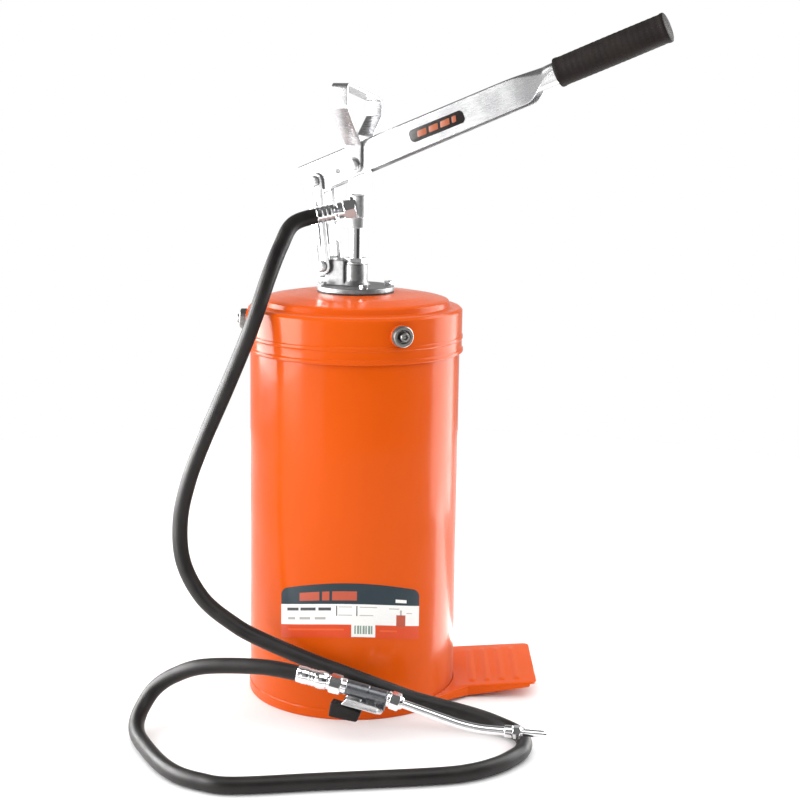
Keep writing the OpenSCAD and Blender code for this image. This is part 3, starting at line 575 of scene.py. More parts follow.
wall = [(seamed, z) for z in (2, 14, 60, 120, 200, 280, 360, 400, 436, 440)]
wall += [(117.1, 440.8), (116.4, 441), (113.2, 441), (112.6, 440.6), (112.5, 440), (112.8, 439.2), (116.3, 439),
         (116.3, 2)]
add("drum_wall", lathe(wall, 360), HERE, ["drum_shell"], angle=50)
foot = soft([(115.1, 0, 0.4), (117.6, 0, 0.9), (118.6, 1.4, 0.9), (118.6, 10.0, 1.2), (118.0, 11.5, 0.6),
             (DRUM_R, 11.5, 0.1), (DRUM_R, 2, 0.1), (115.1, 2, 0.2)])
add("foot_ring", lathe(foot, 256), HERE, ["base_ring"])
# the lid's section, outside from its middle down to the rolled edge and then inside back up
crown = [(0, 460, 0), (47, 460, 3), (76, 457.8, 8), (99, 453.8, 4), (104.2, 452.2, 2.2), (106.6, 446.4, 2),
         (109.5, 444.6, 2), (117.2, 444.6, 1.5), (LID_R, 441.8, 1.5), (LID_R, 414.6, 0.8), (120.9, 413.4, 0.7),
         (120.9, 410.6, 0.7), (LID_R, 409.4, 0.8), (LID_R, 400.5, 1.5), (121.4, 398.6, 1.0), (121.4, 395.6, 0.9),
         (120.4, 395, 0.4), (118.8, 395.2, 0.2), (118.8, 441.4, 1), (116.9, 443.4, 1), (108.4, 443.4, 1),
         (104.6, 445.4, 1), (102.2, 451, 1), (98.6, 452.6, 1), (76, 456.6, 3), (47, 458.8, 3), (0, 458.8, 0)]
add("lid_shell", lathe(soft(crown, 1, 4, closed=False), 256, closed=False), HERE, ["lid"], angle=60)

# ---- foot pedal ----
PEDAL_X, PEDAL_Y = 96, -42
PEDAL = move(PEDAL_X, PEDAL_Y, 9.5) @ turn(-3.8, "Y")
REACH, FLANGE_END = 117, 109
near = [(-12, -44, 1), (39, 0, 9), (REACH, 0, 9), (REACH, 140, 9), (0, 140, 1), (0, 112.2, 0)]
rim = [(118.7 * math.cos(a) - PEDAL_X, 118.7 * math.sin(a) - PEDAL_Y, 0)
       for a in [math.radians(36 - 82 * k / 24) for k in range(1, 25)]]


def pedal_sheet(outline, r=0.3, n=3):
    """One wall of the pressed pedal, 2 mm thick."""
    return plate([soft(outline, r, n)], 2, 0.6)


sheet = pedal_sheet(near + rim, 0, 6)
flange = pedal_sheet([(37.6, 1.4), (FLANGE_END, 1.4), (FLANGE_END, -3, 2), (44, -9.2, 6), (37.6, -9.4, 0)])
gusset = pedal_sheet([(0, 1.4), (68.3, 1.4), (68.3, -9.4, 0), (0, -2.6, 1)])
far = pedal_sheet([(0, 1.4), (FLANGE_END, 1.4), (FLANGE_END, -3, 2), (33, -9.4, 4), (0, -7.2)])


def ridge(x, wide, long, high):
    """A pressed ridge across the pedal, with feathered ends."""
    points, faces, nx, ny = [], [], 17, 61
    for j in range(ny):
        v = j / (ny - 1)
        end = min(1, min(v, 1 - v) * long / 9)
        for i in range(nx):
            u = i / (nx - 1)
            z = high * (0.5 - 0.5 * math.cos(2 * math.pi * u)) * (0.5 - 0.5 * math.cos(math.pi * end))
            points.append((x + (u - 0.5) * wide, 70 + (v - 0.5) * long, 2 + z - 0.02))
    for j in range(ny - 1):
        for i in range(nx - 1):
            k = j * nx + i
            faces.append([k, k + 1, k + nx + 1, k + nx])
    return mesh_of(points, faces)


to_gusset = move(-12, -44, 0) @ turn(math.degrees(math.atan2(44, 51)), "Z")
pedal = joined([(sheet, move(0, 0, 1)), (flange, move(0, 1, 0) @ UPRIGHT),
                (gusset, to_gusset @ move(0, 1, 0) @ UPRIGHT), (far, move(0, 139, 0) @ UPRIGHT)]
               + [(ridge(44 + 17 * i, 11, 118, 1.1), HERE) for i in range(4)])
add("pedal", pedal, PEDAL, ["foot_pedal"])


def on_weld(a):
    """A point of the bead between drum and pedal, which climbs as the tilted pedal does."""
    x, y = 119.2 * math.cos(a), 119.2 * math.sin(a)
    return Vector((x, y, 11.8 + 0.066 * (x - 118))) * MM


weld_path = [on_weld(math.radians(35 - 78 * k / 90)) for k in range(91)]
weld = sweep(weld_path, lambda s: 1.5 + 0.25 * math.sin(s * 420), 12)
weld_bead = bpy.data.objects.new("pedal_weld", weld)
scene.collection.objects.link(weld_bead)
weld.materials.append(looks["orange_paint"])
weld.polygons.foreach_set("use_smooth", [True] * len(weld.polygons))
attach(weld_bead, "drum")

# ---- label: bands that arch with its upper edge, and generic printed blocks ----
PAPER, WARM, SLATE, RED, INK, GREY, PALE, GREEN = range(8)
LABEL_LOOKS = (looks["label_print"], label_warm, slate, label_red, label_ink, label_grey, label_pale, label_green)
HALF_W = 76
# the bands' edges: (height at the label's sides, how much higher it is in the middle)
LEVELS = [(85.0, 9.7), (100.0, 9.6), (123.0, 9.7), (141.0, 15.0)]
# (left, right, low, high, colour): low and high count bands, and a later block covers an earlier one
BLOCKS = [(-HALF_W, HALF_W, 0, 1, WARM), (-HALF_W, HALF_W, 1, 2, PAPER), (-HALF_W, HALF_W, 2, 3, SLATE),
          (-55, -33, 2.18, 2.62, RED), (-30, -22, 2.18, 2.62, RED), (-19, 8, 2.18, 2.62, RED),
          (50, 62, 2.14, 2.32, PAPER),
          (-69, -56, 1.68, 1.83, INK), (-54, -37, 1.68, 1.83, INK), (-34, -20, 1.68, 1.83, INK),
          (-68, -60, 1.24, 1.36, GREY), (-55, -43, 1.24, 1.36, GREY), (-38, -26, 1.24, 1.36, GREY),
          (-14.5, -13.3, 1.42, 1.92, INK), (7.5, 8.7, 1.42, 1.92, INK),
          (-12, 3, 1.84, 1.88, GREY), (-12, 3, 1.44, 1.48, GREY), (11, 30, 1.84, 1.88, GREY),
          (11, 26, 1.44, 1.48, GREY),
          (51, 61, 0.9, 1.52, RED), (55, 57, 1.52, 1.76, GREY), (62, 68, 1.60, 1.64, GREY),
          (43, 54, 1.80, 1.84, GREY),
          (2.2, 28.3, 0.06, 1, PAPER), (-68, -6, 0.55, 0.68, PALE), (33, 52, 0.5, 0.62, PALE),
          (-66, 0, 0.2, 0.3, WARM)]
BLOCKS += [(5.5 + 3 * k, 7.2 + 3 * k + (0.6 if k % 2 else 0), 0.3, 0.93, GREEN) for k in range(7)]
# columns at the blocks' sides, every 4 mm, and close together in the two round corners of 7 mm
CORNER = 7
xs = sorted({round(x, 3) for b in BLOCKS for x in b[:2]} | {-HALF_W + 4 * k for k in range(39)}
            | {s * (HALF_W - CORNER + CORNER * math.sin(k * math.pi / 20)) for s in (-1, 1) for k in range(11)})
xs = [x for i, x in enumerate(xs) if i == 0 or x - xs[i - 1] > 0.05]
ss = sorted({round(s, 3) for b in BLOCKS for s in b[2:4]})
faces, inks = [], []


def label_point(x, s):
    """The place of a column x at s bands up, on the drum's front."""
    i = min(int(s), 2)
    low, high = (z + rise * (1 - (x / HALF_W) ** 2) for z, rise in LEVELS[i : i + 2])
    if i == 2:
        high -= CORNER - math.sqrt(max(0, CORNER**2 - max(0, abs(x) - HALF_W + CORNER) ** 2))
    z = low + (high - low) * (s - i)
    return (x, -math.sqrt((DRUM_R + 0.35) ** 2 - x * x), z)


points = [label_point(x, s) for s in ss for x in xs]
for j in range(len(ss) - 1):
    for i in range(len(xs) - 1):
        x, s = (xs[i] + xs[i + 1]) / 2, (ss[j] + ss[j + 1]) / 2
        ink = [b[4] for b in BLOCKS if b[0] <= x <= b[1] and b[2] <= s <= b[3]]
        if ink:
            k = j * len(xs) + i
            faces.append([k, k + 1, k + len(xs) + 1, k + len(xs)])
            inks.append(ink[-1])
label = mesh_of(points, faces)
for look in LABEL_LOOKS:
    label.materials.append(look)
label.polygons.foreach_set("material_index", inks)
label = settled(label, ("SOLIDIFY", {"thickness": 0.3 * MM, "offset": -1.0}))
add("label", label, HERE, ["drum_label"], look=False)


# ---- clamp screws on the lid ----
def socket(flats):
    """The radius of a hexagon socket as a function of the angle."""
    return lambda a: flats / 2 / math.cos((a + math.pi / 6) % (math.pi / 3) - math.pi / 6)


lug = [(0, -0.9), (11.7, -0.9), (11.7, 1.6), (11.3, 2.5), (10.6, 3.0), (0, 3.0)]
cup = soft([(4.2, 3, 0), (11.4, 3, 0.3), (11.4, 9.2, 0.5), (10.4, 10.2, 0.8), (8.2, 10.2, 0.8), (7.2, 9.2, 0.6),
            (7.2, 4.6, 0.6), (4.2, 4.6, 0)], n=4)
screw = [(0, -14), (4, -14), (4, 4.6), (4.7, 4.6), (5, 4.9), (5, 12.4), (4.8, 13.0), (4.3, 13.5), (3.6, 13.6),
         (socket(5.2), 13.4), (socket(5), 13.0), (socket(5), 9.2), (1.2, 8.4), (0, 8.2)]
nut = hex_rows(13, -10.5, -4, 4)


def repeated(profile, places, closed=True, seg=96):
    """One turned profile at several places, as one mesh."""
    return joined([(lathe(profile, seg, closed), place) for place in places])


add("clamp_bosses", repeated(lug, CLAMPS, False, 64), HERE, ["clamp_lugs"])
add("clamp_cups", repeated(cup, CLAMPS), HERE, ["clamp_washers"], dull_zinc)
add("clamp_bolts", repeated(screw, CLAMPS, False), HERE, ["clamp_screws"], dull_zinc)
add("clamp_hex_nuts", repeated(nut, CLAMPS), HERE, ["clamp_nuts"])

# ---- pump flange, bolts, gland and rod ----
hex_head = hex_rows(8.5, 467.8, 471.2, 2.2, 0.93)[1:-1]
bolt = [(0, 450), (3, 450), (3, 467), (4.9, 467), (4.9, 467.7), (4.4, 467.8)] + hex_head
bolt += [(2.2, 471.2), (2.0, 470.9), (0, 470.8)]
under = hex_rows(8.5, 453.8, 458.7, 3.0)
spots = [turn(15 + 90 * k, "Z") @ move(38, 0, 0) for k in range(4)]
# the flange casting takes the darker copy of cast zinc, whose colour carries painted shade
add("flange_casting", cast("pump_flange", 0.75, 5), HERE, ["pump_flange"], shaded_flange_cast, angle=180)
add("flange_hex_bolts", repeated(bolt, spots, False), HERE, ["flange_bolts"])
add("flange_hex_nuts", repeated(under, spots), HERE, ["flange_nuts"])
add("gland_hex", cast("gland_nut", 0.4, 2), HERE, ["gland_nut"], angle=40)
rod = soft([(3.5, 112), (6.4, 112, 0), (7, 112.8, 0.3), (7, 548), (3.5, 548)], 0.3)
add("plunger_rod", lathe(rod, 64), HERE, ["piston_rod"])
add("head_casting", cast("pump_head", 0.6, 5), HERE, ["pump_head"], angle=180)


# ---- rivet pins ----
def pin(r, half, head_r, head_t):
    """Across Y: a shank with a domed head on each end."""
    dome = [(head_r, half), (head_r, half + head_t * 0.45), (head_r * 0.93, half + head_t * 0.7),
            (head_r * 0.72, half + head_t * 0.9), (head_r * 0.4, half + head_t), (0, half + head_t)]
    rows = [(r_, -z) for r_, z in reversed(dome)] + [(r, -half), (r, half)] + dome
    return lathe(rows, 64, False)


def rivet_at(x, z):
    """Across the pump at a pin of the linkage."""
    return PUMP @ move(x, 0, z) @ UPRIGHT


add("head_rivet", pin(4.5, 17.7, 6, 3), rivet_at(*HEAD_PIN), ["head_pin"])
add("link_rivet_top", pin(4, 17.95, 6.4, 3.2), rivet_at(*LINK_HIGH), ["link_top_pin"])
add("link_rivet_low", pin(4, 17.95, 6.4, 3.2), rivet_at(*LINK_LOW), ["link_lower_pin"])

# ---- link plates: waisted stampings with a folded inner edge and a pressed rib ----
LINK_END_R, LINK_T = 9.6, 3.4
LINK_Y = 14.5  # a plate's inner face, from the middle
span = (LINK_HIGH - LINK_LOW).length


def link_end(x, start):
    """A half circle clockwise about a pin."""
    angles = [math.radians(start - 180 * k / 24) for k in range(25)]
    return [(x + LINK_END_R * math.cos(a), LINK_END_R * math.sin(a)) for a in angles]


outline = link_end(0, -90) + [(16, 8.6), (span / 2, 7.9), (span - 16, 8.6)]
outline += link_end(span, 90) + [(span - 16, -9.2), (span / 2, -9.0), (16, -9.2)]
blank = plate([outline[::-1], circle(0, 0, 4), circle(span, 0, 4)], LINK_T, 0.5)
rise = LINK_HIGH - LINK_LOW
LINK = PUMP @ move(LINK_LOW[0], 0, LINK_LOW[1]) @ turn(-math.degrees(math.atan2(rise[1], rise[0])), "Y")
fold = plate([soft([(24, 0), (26, 6, 2), (46, 6, 2), (48, 0)], 0.3)], 2.2, 0.5)
rib_path = [Vector((18 + (span - 36) * k / 40, 0, 0)) * MM for k in range(41)]
rib = sweep(rib_path, lambda s: 2.6 * min(1, 6 * min(s, 1 - s) + 0.15), 16)
flat = Matrix.Diagonal((1, 0.45, 1, 1))
links = []
for side in (-1, 1):
    links.append((blank, move(0, side * (LINK_Y + LINK_T / 2), 0) @ UPRIGHT))
    links.append((fold, move(0, side * LINK_Y, -9.0) @ (turn(180, "X") if side > 0 else HERE)))
    links.append((rib, move(0, side * (LINK_Y + 3.3), 0) @ flat))
add("link_stampings", joined(links), LINK, ["link_plates"])


# ---- lever: a folded channel whose walls sweep up and close round the handle bar ----
def ease(x, a, b):
    """From 0 at a to 1 at b, level at both ends."""
    t = max(0.0, min(1.0, (x - a) / (b - a)))
    return t * t * (3 - 2 * t)


LEVER_BACK, LEVER_T, EDGE_R = -66, 2.2, 0.4


def lever_section(x):
    """Half of the section at x: points (y, z) from the wall's lower edge to the middle of the top."""
    low = -12.3 + 2.2 * (x - LEVER_BACK) / 264 + 22.5 * ease(x, 206, 243)
    top = 21.7 - 1.3 * ease(x, 184, 240)
    wide = 14 - 2.2 * ease(x, 196, 240)
    bend = min(2.6 + 8.4 * ease(x, 196, 242), (top - low) * 0.8)
    out = [(wide, low + (top - bend - low) * k / 6) for k in range(6)]
    for k in range(9):
        a = math.radians(90 * k / 8)
        out.append((wide - bend + bend * math.cos(a), top - bend + bend * math.sin(a)))
    return out + [(0.0, top)]


def skin(x, inset):
    """The whole section at x, moved inwards from the outer face, with its lower edges rounded."""
    half = lever_section(x)
    out = []
    for k, (y, z) in enumerate(half):
        y0, z0 = half[max(k - 1, 0)]
        y1, z1 = half[min(k + 1, len(half) - 1)]
        d = Vector((y1 - y0, z1 - z0)).normalized() if k < len(half) - 1 else Vector((-1, 0))
        out.append((x, y - d.y * inset, z + d.x * inset))
    round_off = -EDGE_R if inset else EDGE_R
    out[0] = (x, half[0][0] - inset, half[0][1] + EDGE_R)
    out.insert(0, (x, half[0][0] - inset - round_off, half[0][1]))
    return out + [(px, -py, pz) for px, py, pz in reversed(out[:-1])]


stations = [LEVER_BACK + 4 * k for k in range(66)] + [198 + 1.5 * k for k in range(32)]
rows = [skin(x, 0) + skin(x, LEVER_T)[::-1] for x in stations]
count = len(rows[0])
points = [p for row in rows for p in row]
faces = [[i * count + k, i * count + (k + 1) % count, (i + 1) * count + (k + 1) % count, (i + 1) * count + k]
         for i in range(len(rows) - 1) for k in range(count)]
for base in (0, (len(rows) - 1) * count):
    faces += [[base + k, base + k + 1, base + count - 2 - k, base + count - 1 - k] for k in range(count // 2 - 1)]
link_pin = -math.hypot(HEAD_PIN[0] - LINK_HIGH[0], HEAD_PIN[1] - LINK_HIGH[1])
slot_ends, slot_sides = (link_pin - 10.2, link_pin + 5.4), (-4.8, 5.6)
slot_hole = soft([(slot_ends[0], slot_sides[0]), (slot_ends[1], slot_sides[0]),
                  (slot_ends[1], slot_sides[1]), (slot_ends[0], slot_sides[1])], 4, 6)
holes = [slot_hole, circle(-21.8, 1, 3), circle(0, 0, 4.6)]
cutter = bpy.data.objects.new("cutter", joined([(plate([hole], 60, 0.01), UPRIGHT) for hole in holes]))
scene.collection.objects.link(cutter)
channel = settled(outward(mesh_of(points, faces)),
                  ("BOOLEAN", {"operation": "DIFFERENCE", "solver": "EXACT", "object": cutter}))
bpy.data.objects.remove(cutter)
add("lever_stamping", channel, LEVER, ["lever_channel"], angle=30)
BAR = LEVER @ move(0, 0, 9) @ ALONG
bar = soft([(0, 206, 0), (10.2, 206, 0), (11, 206.8, 0.4), (11, 365, 0), (0, 365, 0)], closed=False)
add("handle_tube", lathe(bar, 96, False), BAR, ["handle_bar"])

# ---- hand grip: moulded foam with rolled ends and shallow rings of grain ----
GRIP_START, GRIP_L, RINGS = 250.4, 113.6, 60


def grip_radius(k):
    """The radius at ring k: grain on a slight barrel."""
    return 15.25 + 0.12 * math.sin(k * 1.9) + 0.25 * math.sin(math.pi * k / RINGS)


grip = [(11.0, 245.4), (14.4, 245.0), (15.5, 245.5), (15.8, 246.4), (15.8, 249.0), (15.3, GRIP_START)]
grip += [(grip_radius(k), GRIP_START + (GRIP_L / RINGS) * k) for k in range(1, RINGS)]
grip += [(15.3, 364.0), (15.8, 365.4), (15.8, 367.6), (15.4, 368.5), (14.4, 369.0), (6, 368.8), (0, 368.7)]
add("grip", lathe(grip, 96, False), BAR, ["hand_grip"], angle=50)

# ---- badge: a plain dark plate with four plain bars ----
badge_outline = [(71, 0.8, 3), (74, -2.4, 2), (134, -2.9, 2), (137, 0, 3), (137, 8.2, 3), (134, 11.0, 2),
                 (74, 11.4, 2), (71, 8.6, 3)]
badge = plate([soft(badge_outline, n=4)], 0.6, 0.2)
bars = [plate([soft([(x, 1.2), (x + w, 1.2), (x + w + 1.6, 7.6), (x + 1.6, 7.6)], 0.8, 3)], 0.2, 0.05)
        for x, w in ((80, 11), (94, 11), (108, 11), (122, 5))]
whole = joined([(badge, move(0, -14.3, 0) @ UPRIGHT)] + [(b, move(0, -14.65, 0) @ UPRIGHT) for b in bars])
whole.materials.append(looks["badge_print"])
whole.materials.append(badge_ink)
on_badge = len(badge.polygons)
whole.polygons.foreach_set("material_index", [0] * on_badge + [1] * (len(whole.polygons) - on_badge))
add("badge", whole, LEVER, ["lever_badge"], look=False)


# ---- carry strap: one flat bar bent into a loop ----
def band(path, thick, r):
    """The outline of a bar of one thickness, bent along a path."""
    mid = [Vector(p) for p in soft(path, r, 8, closed=False)]
    left, right = [], []
    for i, p in enumerate(mid):
        d = (mid[min(i + 1, len(mid) - 1)] - mid[max(i - 1, 0)]).normalized()
        off = Vector((-d.y, d.x)) * thick / 2
        left.append(tuple(p + off))
        right.append(tuple(p - off))
    return left + right[::-1]


STRAP_Y, STRAP_T, STRAP_FOOT = 16.1, 3.2, HEAD_PIN[1]
loop = [(-STRAP_Y, STRAP_FOOT), (-STRAP_Y, 622), (-54, 664), (-54, 688), (41, 671), (41, 652), (STRAP_Y, 632),
        (STRAP_Y, STRAP_FOOT)]
upper = plate([band(loop, STRAP_T, 6)], 19, 0.7, 3)
eye = plate([circle(0, 0, 9.5, 64), circle(1, 0, 4.5, 48)], STRAP_T, 0.6)
stand = Matrix(((0, 0, 1, 0), (1, 0, 0, 0), (0, 1, 0, 0), (0, 0, 0, 1)))  # the outline's X onto Y and Y onto Z
strap = joined([(upper, stand)] + [(eye, move(0, s * STRAP_Y, STRAP_FOOT) @ UPRIGHT) for s in (-1, 1)])
add("strap", strap, PUMP @ move(3, 0, 0), ["carry_strap"], angle=40)


# ---- outlet: nipple, union nut and crimped ferrule ----
def crimped(x0, x1, r, grooves, bore):
    """Rows of a hose ferrule with rolled ends and pressed grooves."""
    rows = [(bore, x0), (r - 0.5, x0), (r, x0 + 0.6)]
    for g in grooves:
        rows += [(r, g - 1.3), (r - 0.2, g - 0.9), (r - 0.5, g - 0.35)]
        rows += [(r - 0.5, g + 0.35), (r - 0.2, g + 0.9), (r, g + 1.3)]
    return rows + [(r, x1 - 0.6), (r - 0.5, x1), (bore, x1)]


at_outlet = OUTLET @ ALONG
nipple = [(2.5, 2), (5, 2), (5, 24), (6.4, 24), (6.4, 29), (4.8, 29), (4.8, 46), (2.5, 46)]
add("outlet_nipple", lathe(nipple, 64), at_outlet, ["hose_nipple"])
union = hex_rows(20, 4, 17.5, 5, 0.96)[:-1] + [(8.8, 17.6), (8.9, 20.5), (8.6, 23.4), (8.0, 24), (5, 24)]
add("outlet_union", lathe(union, 96), at_outlet, ["hose_nut"])
add("outlet_ferrule", lathe(crimped(27, 47, 9.1, [31.5, 36.5, 41.5], 5.2), 96), at_outlet, ["upper_ferrule"])

# ---- gun ----
at_gun, at_nose, at_tip = GUN @ ALONG, NOSE @ ALONG, TIP @ ALONG
ferrule = [(5, 0.1), (8.8, 0.1), (9.3, 0.8), (9.3, 5), (9.6, 6), (9.6, 8.5), (9.3, 9.3)]
for g in (13, 16.5, 20):
    ferrule += [(9.3, g - 1.1), (8.9, g - 0.5), (8.9, g + 0.5), (9.3, g + 1.1)]
ferrule += [(9.4, 22.4), (9.9, 23.2), (9.9, 28.4), (9.5, 29.2), (9.0, 32.4), (8.5, 33.1), (5, 33.1)]
add("gun_hose_ferrule", lathe(ferrule, 96), at_gun, ["gun_ferrule"])
swivel = [(4, 33.2), (8.0, 33.2), (8.2, 33.5), (8.2, 35.9)] + hex_rows(18.5, 36, 49, 4, 0.96)[1:-1]
swivel += [(8.4, 49.1), (8.6, 50), (8.6, 53.6), (8.2, 54.6), (4, 54.7)]
add("gun_swivel_nut", lathe(swivel, 96), at_gun, ["gun_inlet_nut"])
add("gun_casting_body", cast("gun_body", 0.45, 4), HERE, ["gun_body"], angle=180)
nose = [(2, -6), (2.9, -6), (3, -5.8), (3, 1.0), (8.2, 1.0), (8.4, 1.2), (8.4, 3.8)]
nose += hex_rows(17, 3.9, 14.8, 3.6, 0.95)[1:-1]
nose += [(7.2, 14.9), (6.9, 16), (6.0, 17.9), (5.6, 18.3), (4.6, 18.3), (4.6, 5), (2, 5)]
add("gun_gland_nut", lathe(nose, 96), at_nose, ["gun_front_nut"])
spout = [NOSE @ Vector((x * MM, 0, 0)) for x in (5.2, 12, 25, 40, 55, SPOUT_STRAIGHT)]
spout += [NOSE @ (Vector(bend_point(math.radians(SPOUT_BEND) * k / 16)) * MM) for k in range(1, 17)]
spout += [TIP @ Vector((x * MM, 0, 0)) for x in (7, 14, 21, 28)]
add("gun_spout", sweep(spout, 4.6, 48), HERE, ["gun_tube"])
collar = [(4.6, 14.8), (6.0, 14.8, 0.3), (6.4, 15.6, 0.4), (6.4, 22.8, 0.4), (5.9, 23.6, 0.3), (4.6, 23.6)]
add("gun_collar", lathe(soft(collar, 0.2), 64), at_tip, ["gun_coupler"])
tip_nut = hex_rows(12.5, 23.8, 31.8, 3, 0.95)[:-1] + [(5.0, 31.9), (5.0, 33.2), (4.6, 33.7), (3, 33.7)]
add("gun_tip_hex", lathe(tip_nut, 96), at_tip, ["gun_tip_nut"])
outlet_tube = [(1.6, 28.4), (3, 28.4), (3, 33.9, 0), (3.8, 34, 0.1), (3.8, 55.9, 0.8), (3.0, 58.9, 0.4),
               (1.6, 58.9, 0.2)]
add("gun_outlet", lathe(soft(outlet_tube, 0.1), 64), at_tip, ["gun_tip"])

# ---- trigger: folded sheet with a rubber sleeve on its tongue ----
cheek = [(54, -16.6, 0.8), (93, -16.6, 3), (98.4, -14.6, 2), (98.9, -11, 1.6), (96.4, -9.6, 1.6), (58.7, -8.5, 1.2)]
side_plate = plate([soft(cheek, 1, 4), circle(*TRIGGER_PIN, 2.05, 24)], 1.4, 0.35)
web = plate([[(54, -9.9), (88, -9.9), (88, 9.9), (54, 9.9)]], 1.6, 0.4)
tongue_outline = [(55, -15.6), (71, -15.6), (70, -31, 2), (48, -32, 2), (48, -22, 2), (55, -20, 2)]
tongue = plate([soft(tongue_outline, 0.5)], 3, 0.5)
blade = joined([(side_plate, move(0, -9.7, 0) @ UPRIGHT), (side_plate, move(0, 9.7, 0) @ UPRIGHT),
                (web, move(0, 0, -15.8)), (tongue, UPRIGHT)])
add("trigger_blade", blade, GUN, ["gun_trigger"])
hull = soft([(41.8, -18.6, 2.4), (42.6, -35.6, 2.6), (73.6, -33.4, 2.6), (75.9, -20.6, 2.4)], 2, 5)
pad = plate([hull], 14, 2.2, 4)


def rib_across(x, z, half):
    """A thin bead across the sleeve."""
    return sweep([Vector((x, y, z)) * MM for y in (-half, -2.5, 0, 2.5, half)], 0.7, 10), HERE


ribs = []
for k in range(6):
    x = 46.5 + 4.6 * k
    ribs.append(rib_across(x, -18.9 - 0.06 * (x - 42), 5.4))
    ribs.append(rib_across(x, -35.2 + 0.07 * (x - 42.6), 5.2))
add("trigger_rubber", joined([(pad, UPRIGHT)] + ribs), GUN, ["trigger_sleeve"], sleeve_rubber)
add("trigger_rivet", pin(2, 10.75, 3.2, 1.6), GUN @ move(TRIGGER_PIN[0], 0, TRIGGER_PIN[1]) @ UPRIGHT,
    ["trigger_pin"])

# ---- pale floor, sky and soft lights ----
floor_edge = [(x, y, 0) for x, y in circle(0, 0, 1500, 128)]
floor = bpy.data.objects.new("floor", mesh_of(floor_edge, [list(range(len(floor_edge)))]))
scene.collection.objects.link(floor)
pale = Look("floor_pale", (0.9, 0.9, 0.9), 0.6)
pale.paint(pale.tint(pale.noise(3, 2), (0.9, 0.9, 0.9), (0.91, 0.91, 0.91)))
floor.data.materials.append(pale.mat)

world = bpy.data.worlds.new("studio")
scene.world = world
world.use_nodes = True
tree = world.node_tree
tree.nodes.clear()


def world_node(kind, *links, **settings):
    """A world node; links feed its inputs in order."""
    n = tree.nodes.new(kind)
    for key, value in settings.items():
        setattr(n, key, value)
    for i, value in enumerate(links):
        if isinstance(value, bpy.types.NodeSocket):
            tree.links.new(value, n.inputs[i])
        else:
            n.inputs[i].default_value = value
    return n.outputs[0] if n.outputs else None


def grey_ramp(value, stops):
    """Greys by a value, from (place, level) stops."""
    n = tree.nodes.new("ShaderNodeValToRGB")
    n.color_ramp.interpolation = "EASE"
    n.color_ramp.elements.remove(n.color_ramp.elements[0])
    for i, (at, level) in enumerate(stops):
        e = n.color_ramp.elements[0] if i == 0 else n.color_ramp.elements.new(at)
        e.position, e.color = at, (level, level, level, 1)
    tree.links.new(value, n.inputs[0])
    return n.outputs[0]


# (place, level) stops round the room from straight behind (0) by the left (0.25), the front (0.5) and the
# right (0.75): ROOM is what gloss reflects, and FILL is what lights the rest
ROOM = [(0.0, 0.65), (0.1, 0.7), (0.16, 0.95), (0.366, 1.0), (0.382, 0.75), (0.42, 0.5), (0.50, 0.42),
        (0.528, 0.3), (0.54, 0.05), (0.655, 0.05), (0.71, 0.9), (0.79, 0.9), (0.85, 0.5), (0.93, 0.5),
        (1.0, 0.65)]
FILL = [(0.0, 0.6), (0.16, 1.0), (0.37, 1.0), (0.44, 0.45), (0.5, 0.06), (0.60, 0.08), (0.67, 0.6),
        (0.73, 1.0), (0.85, 0.85), (1.0, 0.6)]
direction = tree.nodes.new("ShaderNodeTexCoord").outputs["Generated"]
split = tree.nodes.new("ShaderNodeSeparateXYZ")
tree.links.new(direction, split.inputs[0])
back_y = world_node("ShaderNodeMath", split.outputs[1], -1.0, operation="MULTIPLY")
azimuth = world_node("ShaderNodeMath", split.outputs[0], back_y, operation="ARCTAN2")
share = world_node("ShaderNodeMath", azimuth, 1 / (2 * math.pi), 0.5, operation="MULTIPLY_ADD")


def sky(stops, low, high, top, strength):
    """Light round the horizon by its stops, passing into an even ceiling between two heights."""
    above = world_node("ShaderNodeMapRange", split.outputs[2], low, high, 0.0, 1.0)
    blended = tree.nodes.new("ShaderNodeMix")
    blended.data_type = "RGBA"
    tree.links.new(above, blended.inputs[0])
    tree.links.new(grey_ramp(share, stops), blended.inputs[6])
    blended.inputs[7].default_value = (top, top, top, 1)
    return world_node("ShaderNodeBackground", blended.outputs[2], strength)


rays = tree.nodes.new("ShaderNodeLightPath")
backdrop = world_node("ShaderNodeBackground", (1, 1, 1, 1), 1.0)
fill = sky(FILL, low=0.28, high=0.55, top=1.3, strength=1.4)
room = sky(ROOM, low=0.3, high=0.6, top=0.14, strength=1.0)
unseen = world_node("ShaderNodeMixShader", rays.outputs["Is Glossy Ray"], fill, room)
seen = world_node("ShaderNodeMixShader", rays.outputs["Is Camera Ray"], unseen, backdrop)
world_node("ShaderNodeOutputWorld", seen)


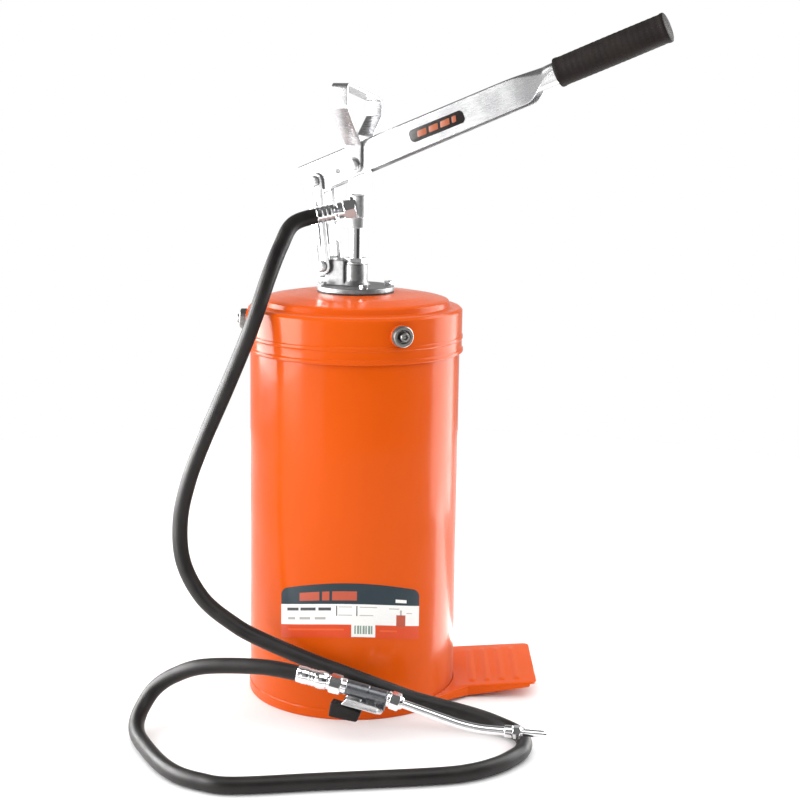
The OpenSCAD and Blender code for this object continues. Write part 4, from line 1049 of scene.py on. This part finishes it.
def soft_light(name, azimuth, distance, height, wide, tall, power, aim=0.3, shine_only=False):
    """An area light at an azimuth from the front, turned to the pump's axis at the height it aims at.

    A box lights what it falls on. A card (shine_only) only shows in gloss.
    """
    data = bpy.data.lights.new(name, "AREA")
    data.shape, data.size, data.size_y, data.energy = "RECTANGLE", wide, tall, power
    obj = bpy.data.objects.new(name, data)
    scene.collection.objects.link(obj)
    a = math.radians(azimuth)
    obj.location = (distance * math.sin(a), -distance * math.cos(a), height)
    obj.rotation_euler = (Vector((0, 0, aim)) - obj.location).to_track_quat("-Z", "Y").to_euler()
    obj.visible_camera = False
    obj.visible_diffuse = not shine_only
    return obj


METALS = {"zinc_plate", "cast_zinc", "shaded_flange_cast", "dull_zinc", "chrome_rod", "bearing_steel", "gun_casting",
          "brass_parts"}
NOT_METAL = {m.name for m in bpy.data.materials} - METALS
PAINT = {"orange_paint"}


def shine_on(light, names):
    """Links a light to the pieces whose first material is one of these."""
    chosen = bpy.data.collections.new(light.name)
    for obj in scene.objects:
        if obj.type == "MESH" and obj.data.materials and obj.data.materials[0].name in names:
            chosen.objects.link(obj)
    light.light_linking.receiver_collection = chosen


left_box = soft_light("left_box", -70, distance=1.7, height=0.95, wide=0.8, tall=1.5, power=8.5)
low_box = soft_light("low_box", -50, distance=1.3, height=0.22, wide=0.9, tall=0.4, power=2.0, aim=0.1)
left_card = soft_light("left_card", -88, distance=1.0, height=0.57, wide=1.35, tall=0.72, power=60, aim=0.57,
                       shine_only=True)
right_card = soft_light("right_card", 111, distance=0.85, height=0.66, wide=0.66, tall=1.3, power=20, aim=0.66,
                        shine_only=True)
# on the floor, facing up
low_card = soft_light("low_card", 108, distance=0.60, height=0.006, wide=0.22, tall=0.8, power=4, shine_only=True)
low_card.rotation_euler = (math.pi, 0, math.radians(-72))
# over the gun, facing down
gun_card = soft_light("gun_card", 20, distance=0.45, height=0.5, wide=0.7, tall=0.35, power=2, shine_only=True)
gun_card.rotation_euler = (0, 0, 0)
for light, names in ((left_box, NOT_METAL), (low_box, NOT_METAL), (left_card, PAINT), (right_card, PAINT),
                     (low_card, PAINT), (gun_card, {"chrome_rod", "gun_casting"})):
    shine_on(light, names)
scene.view_settings.view_transform = "Standard"
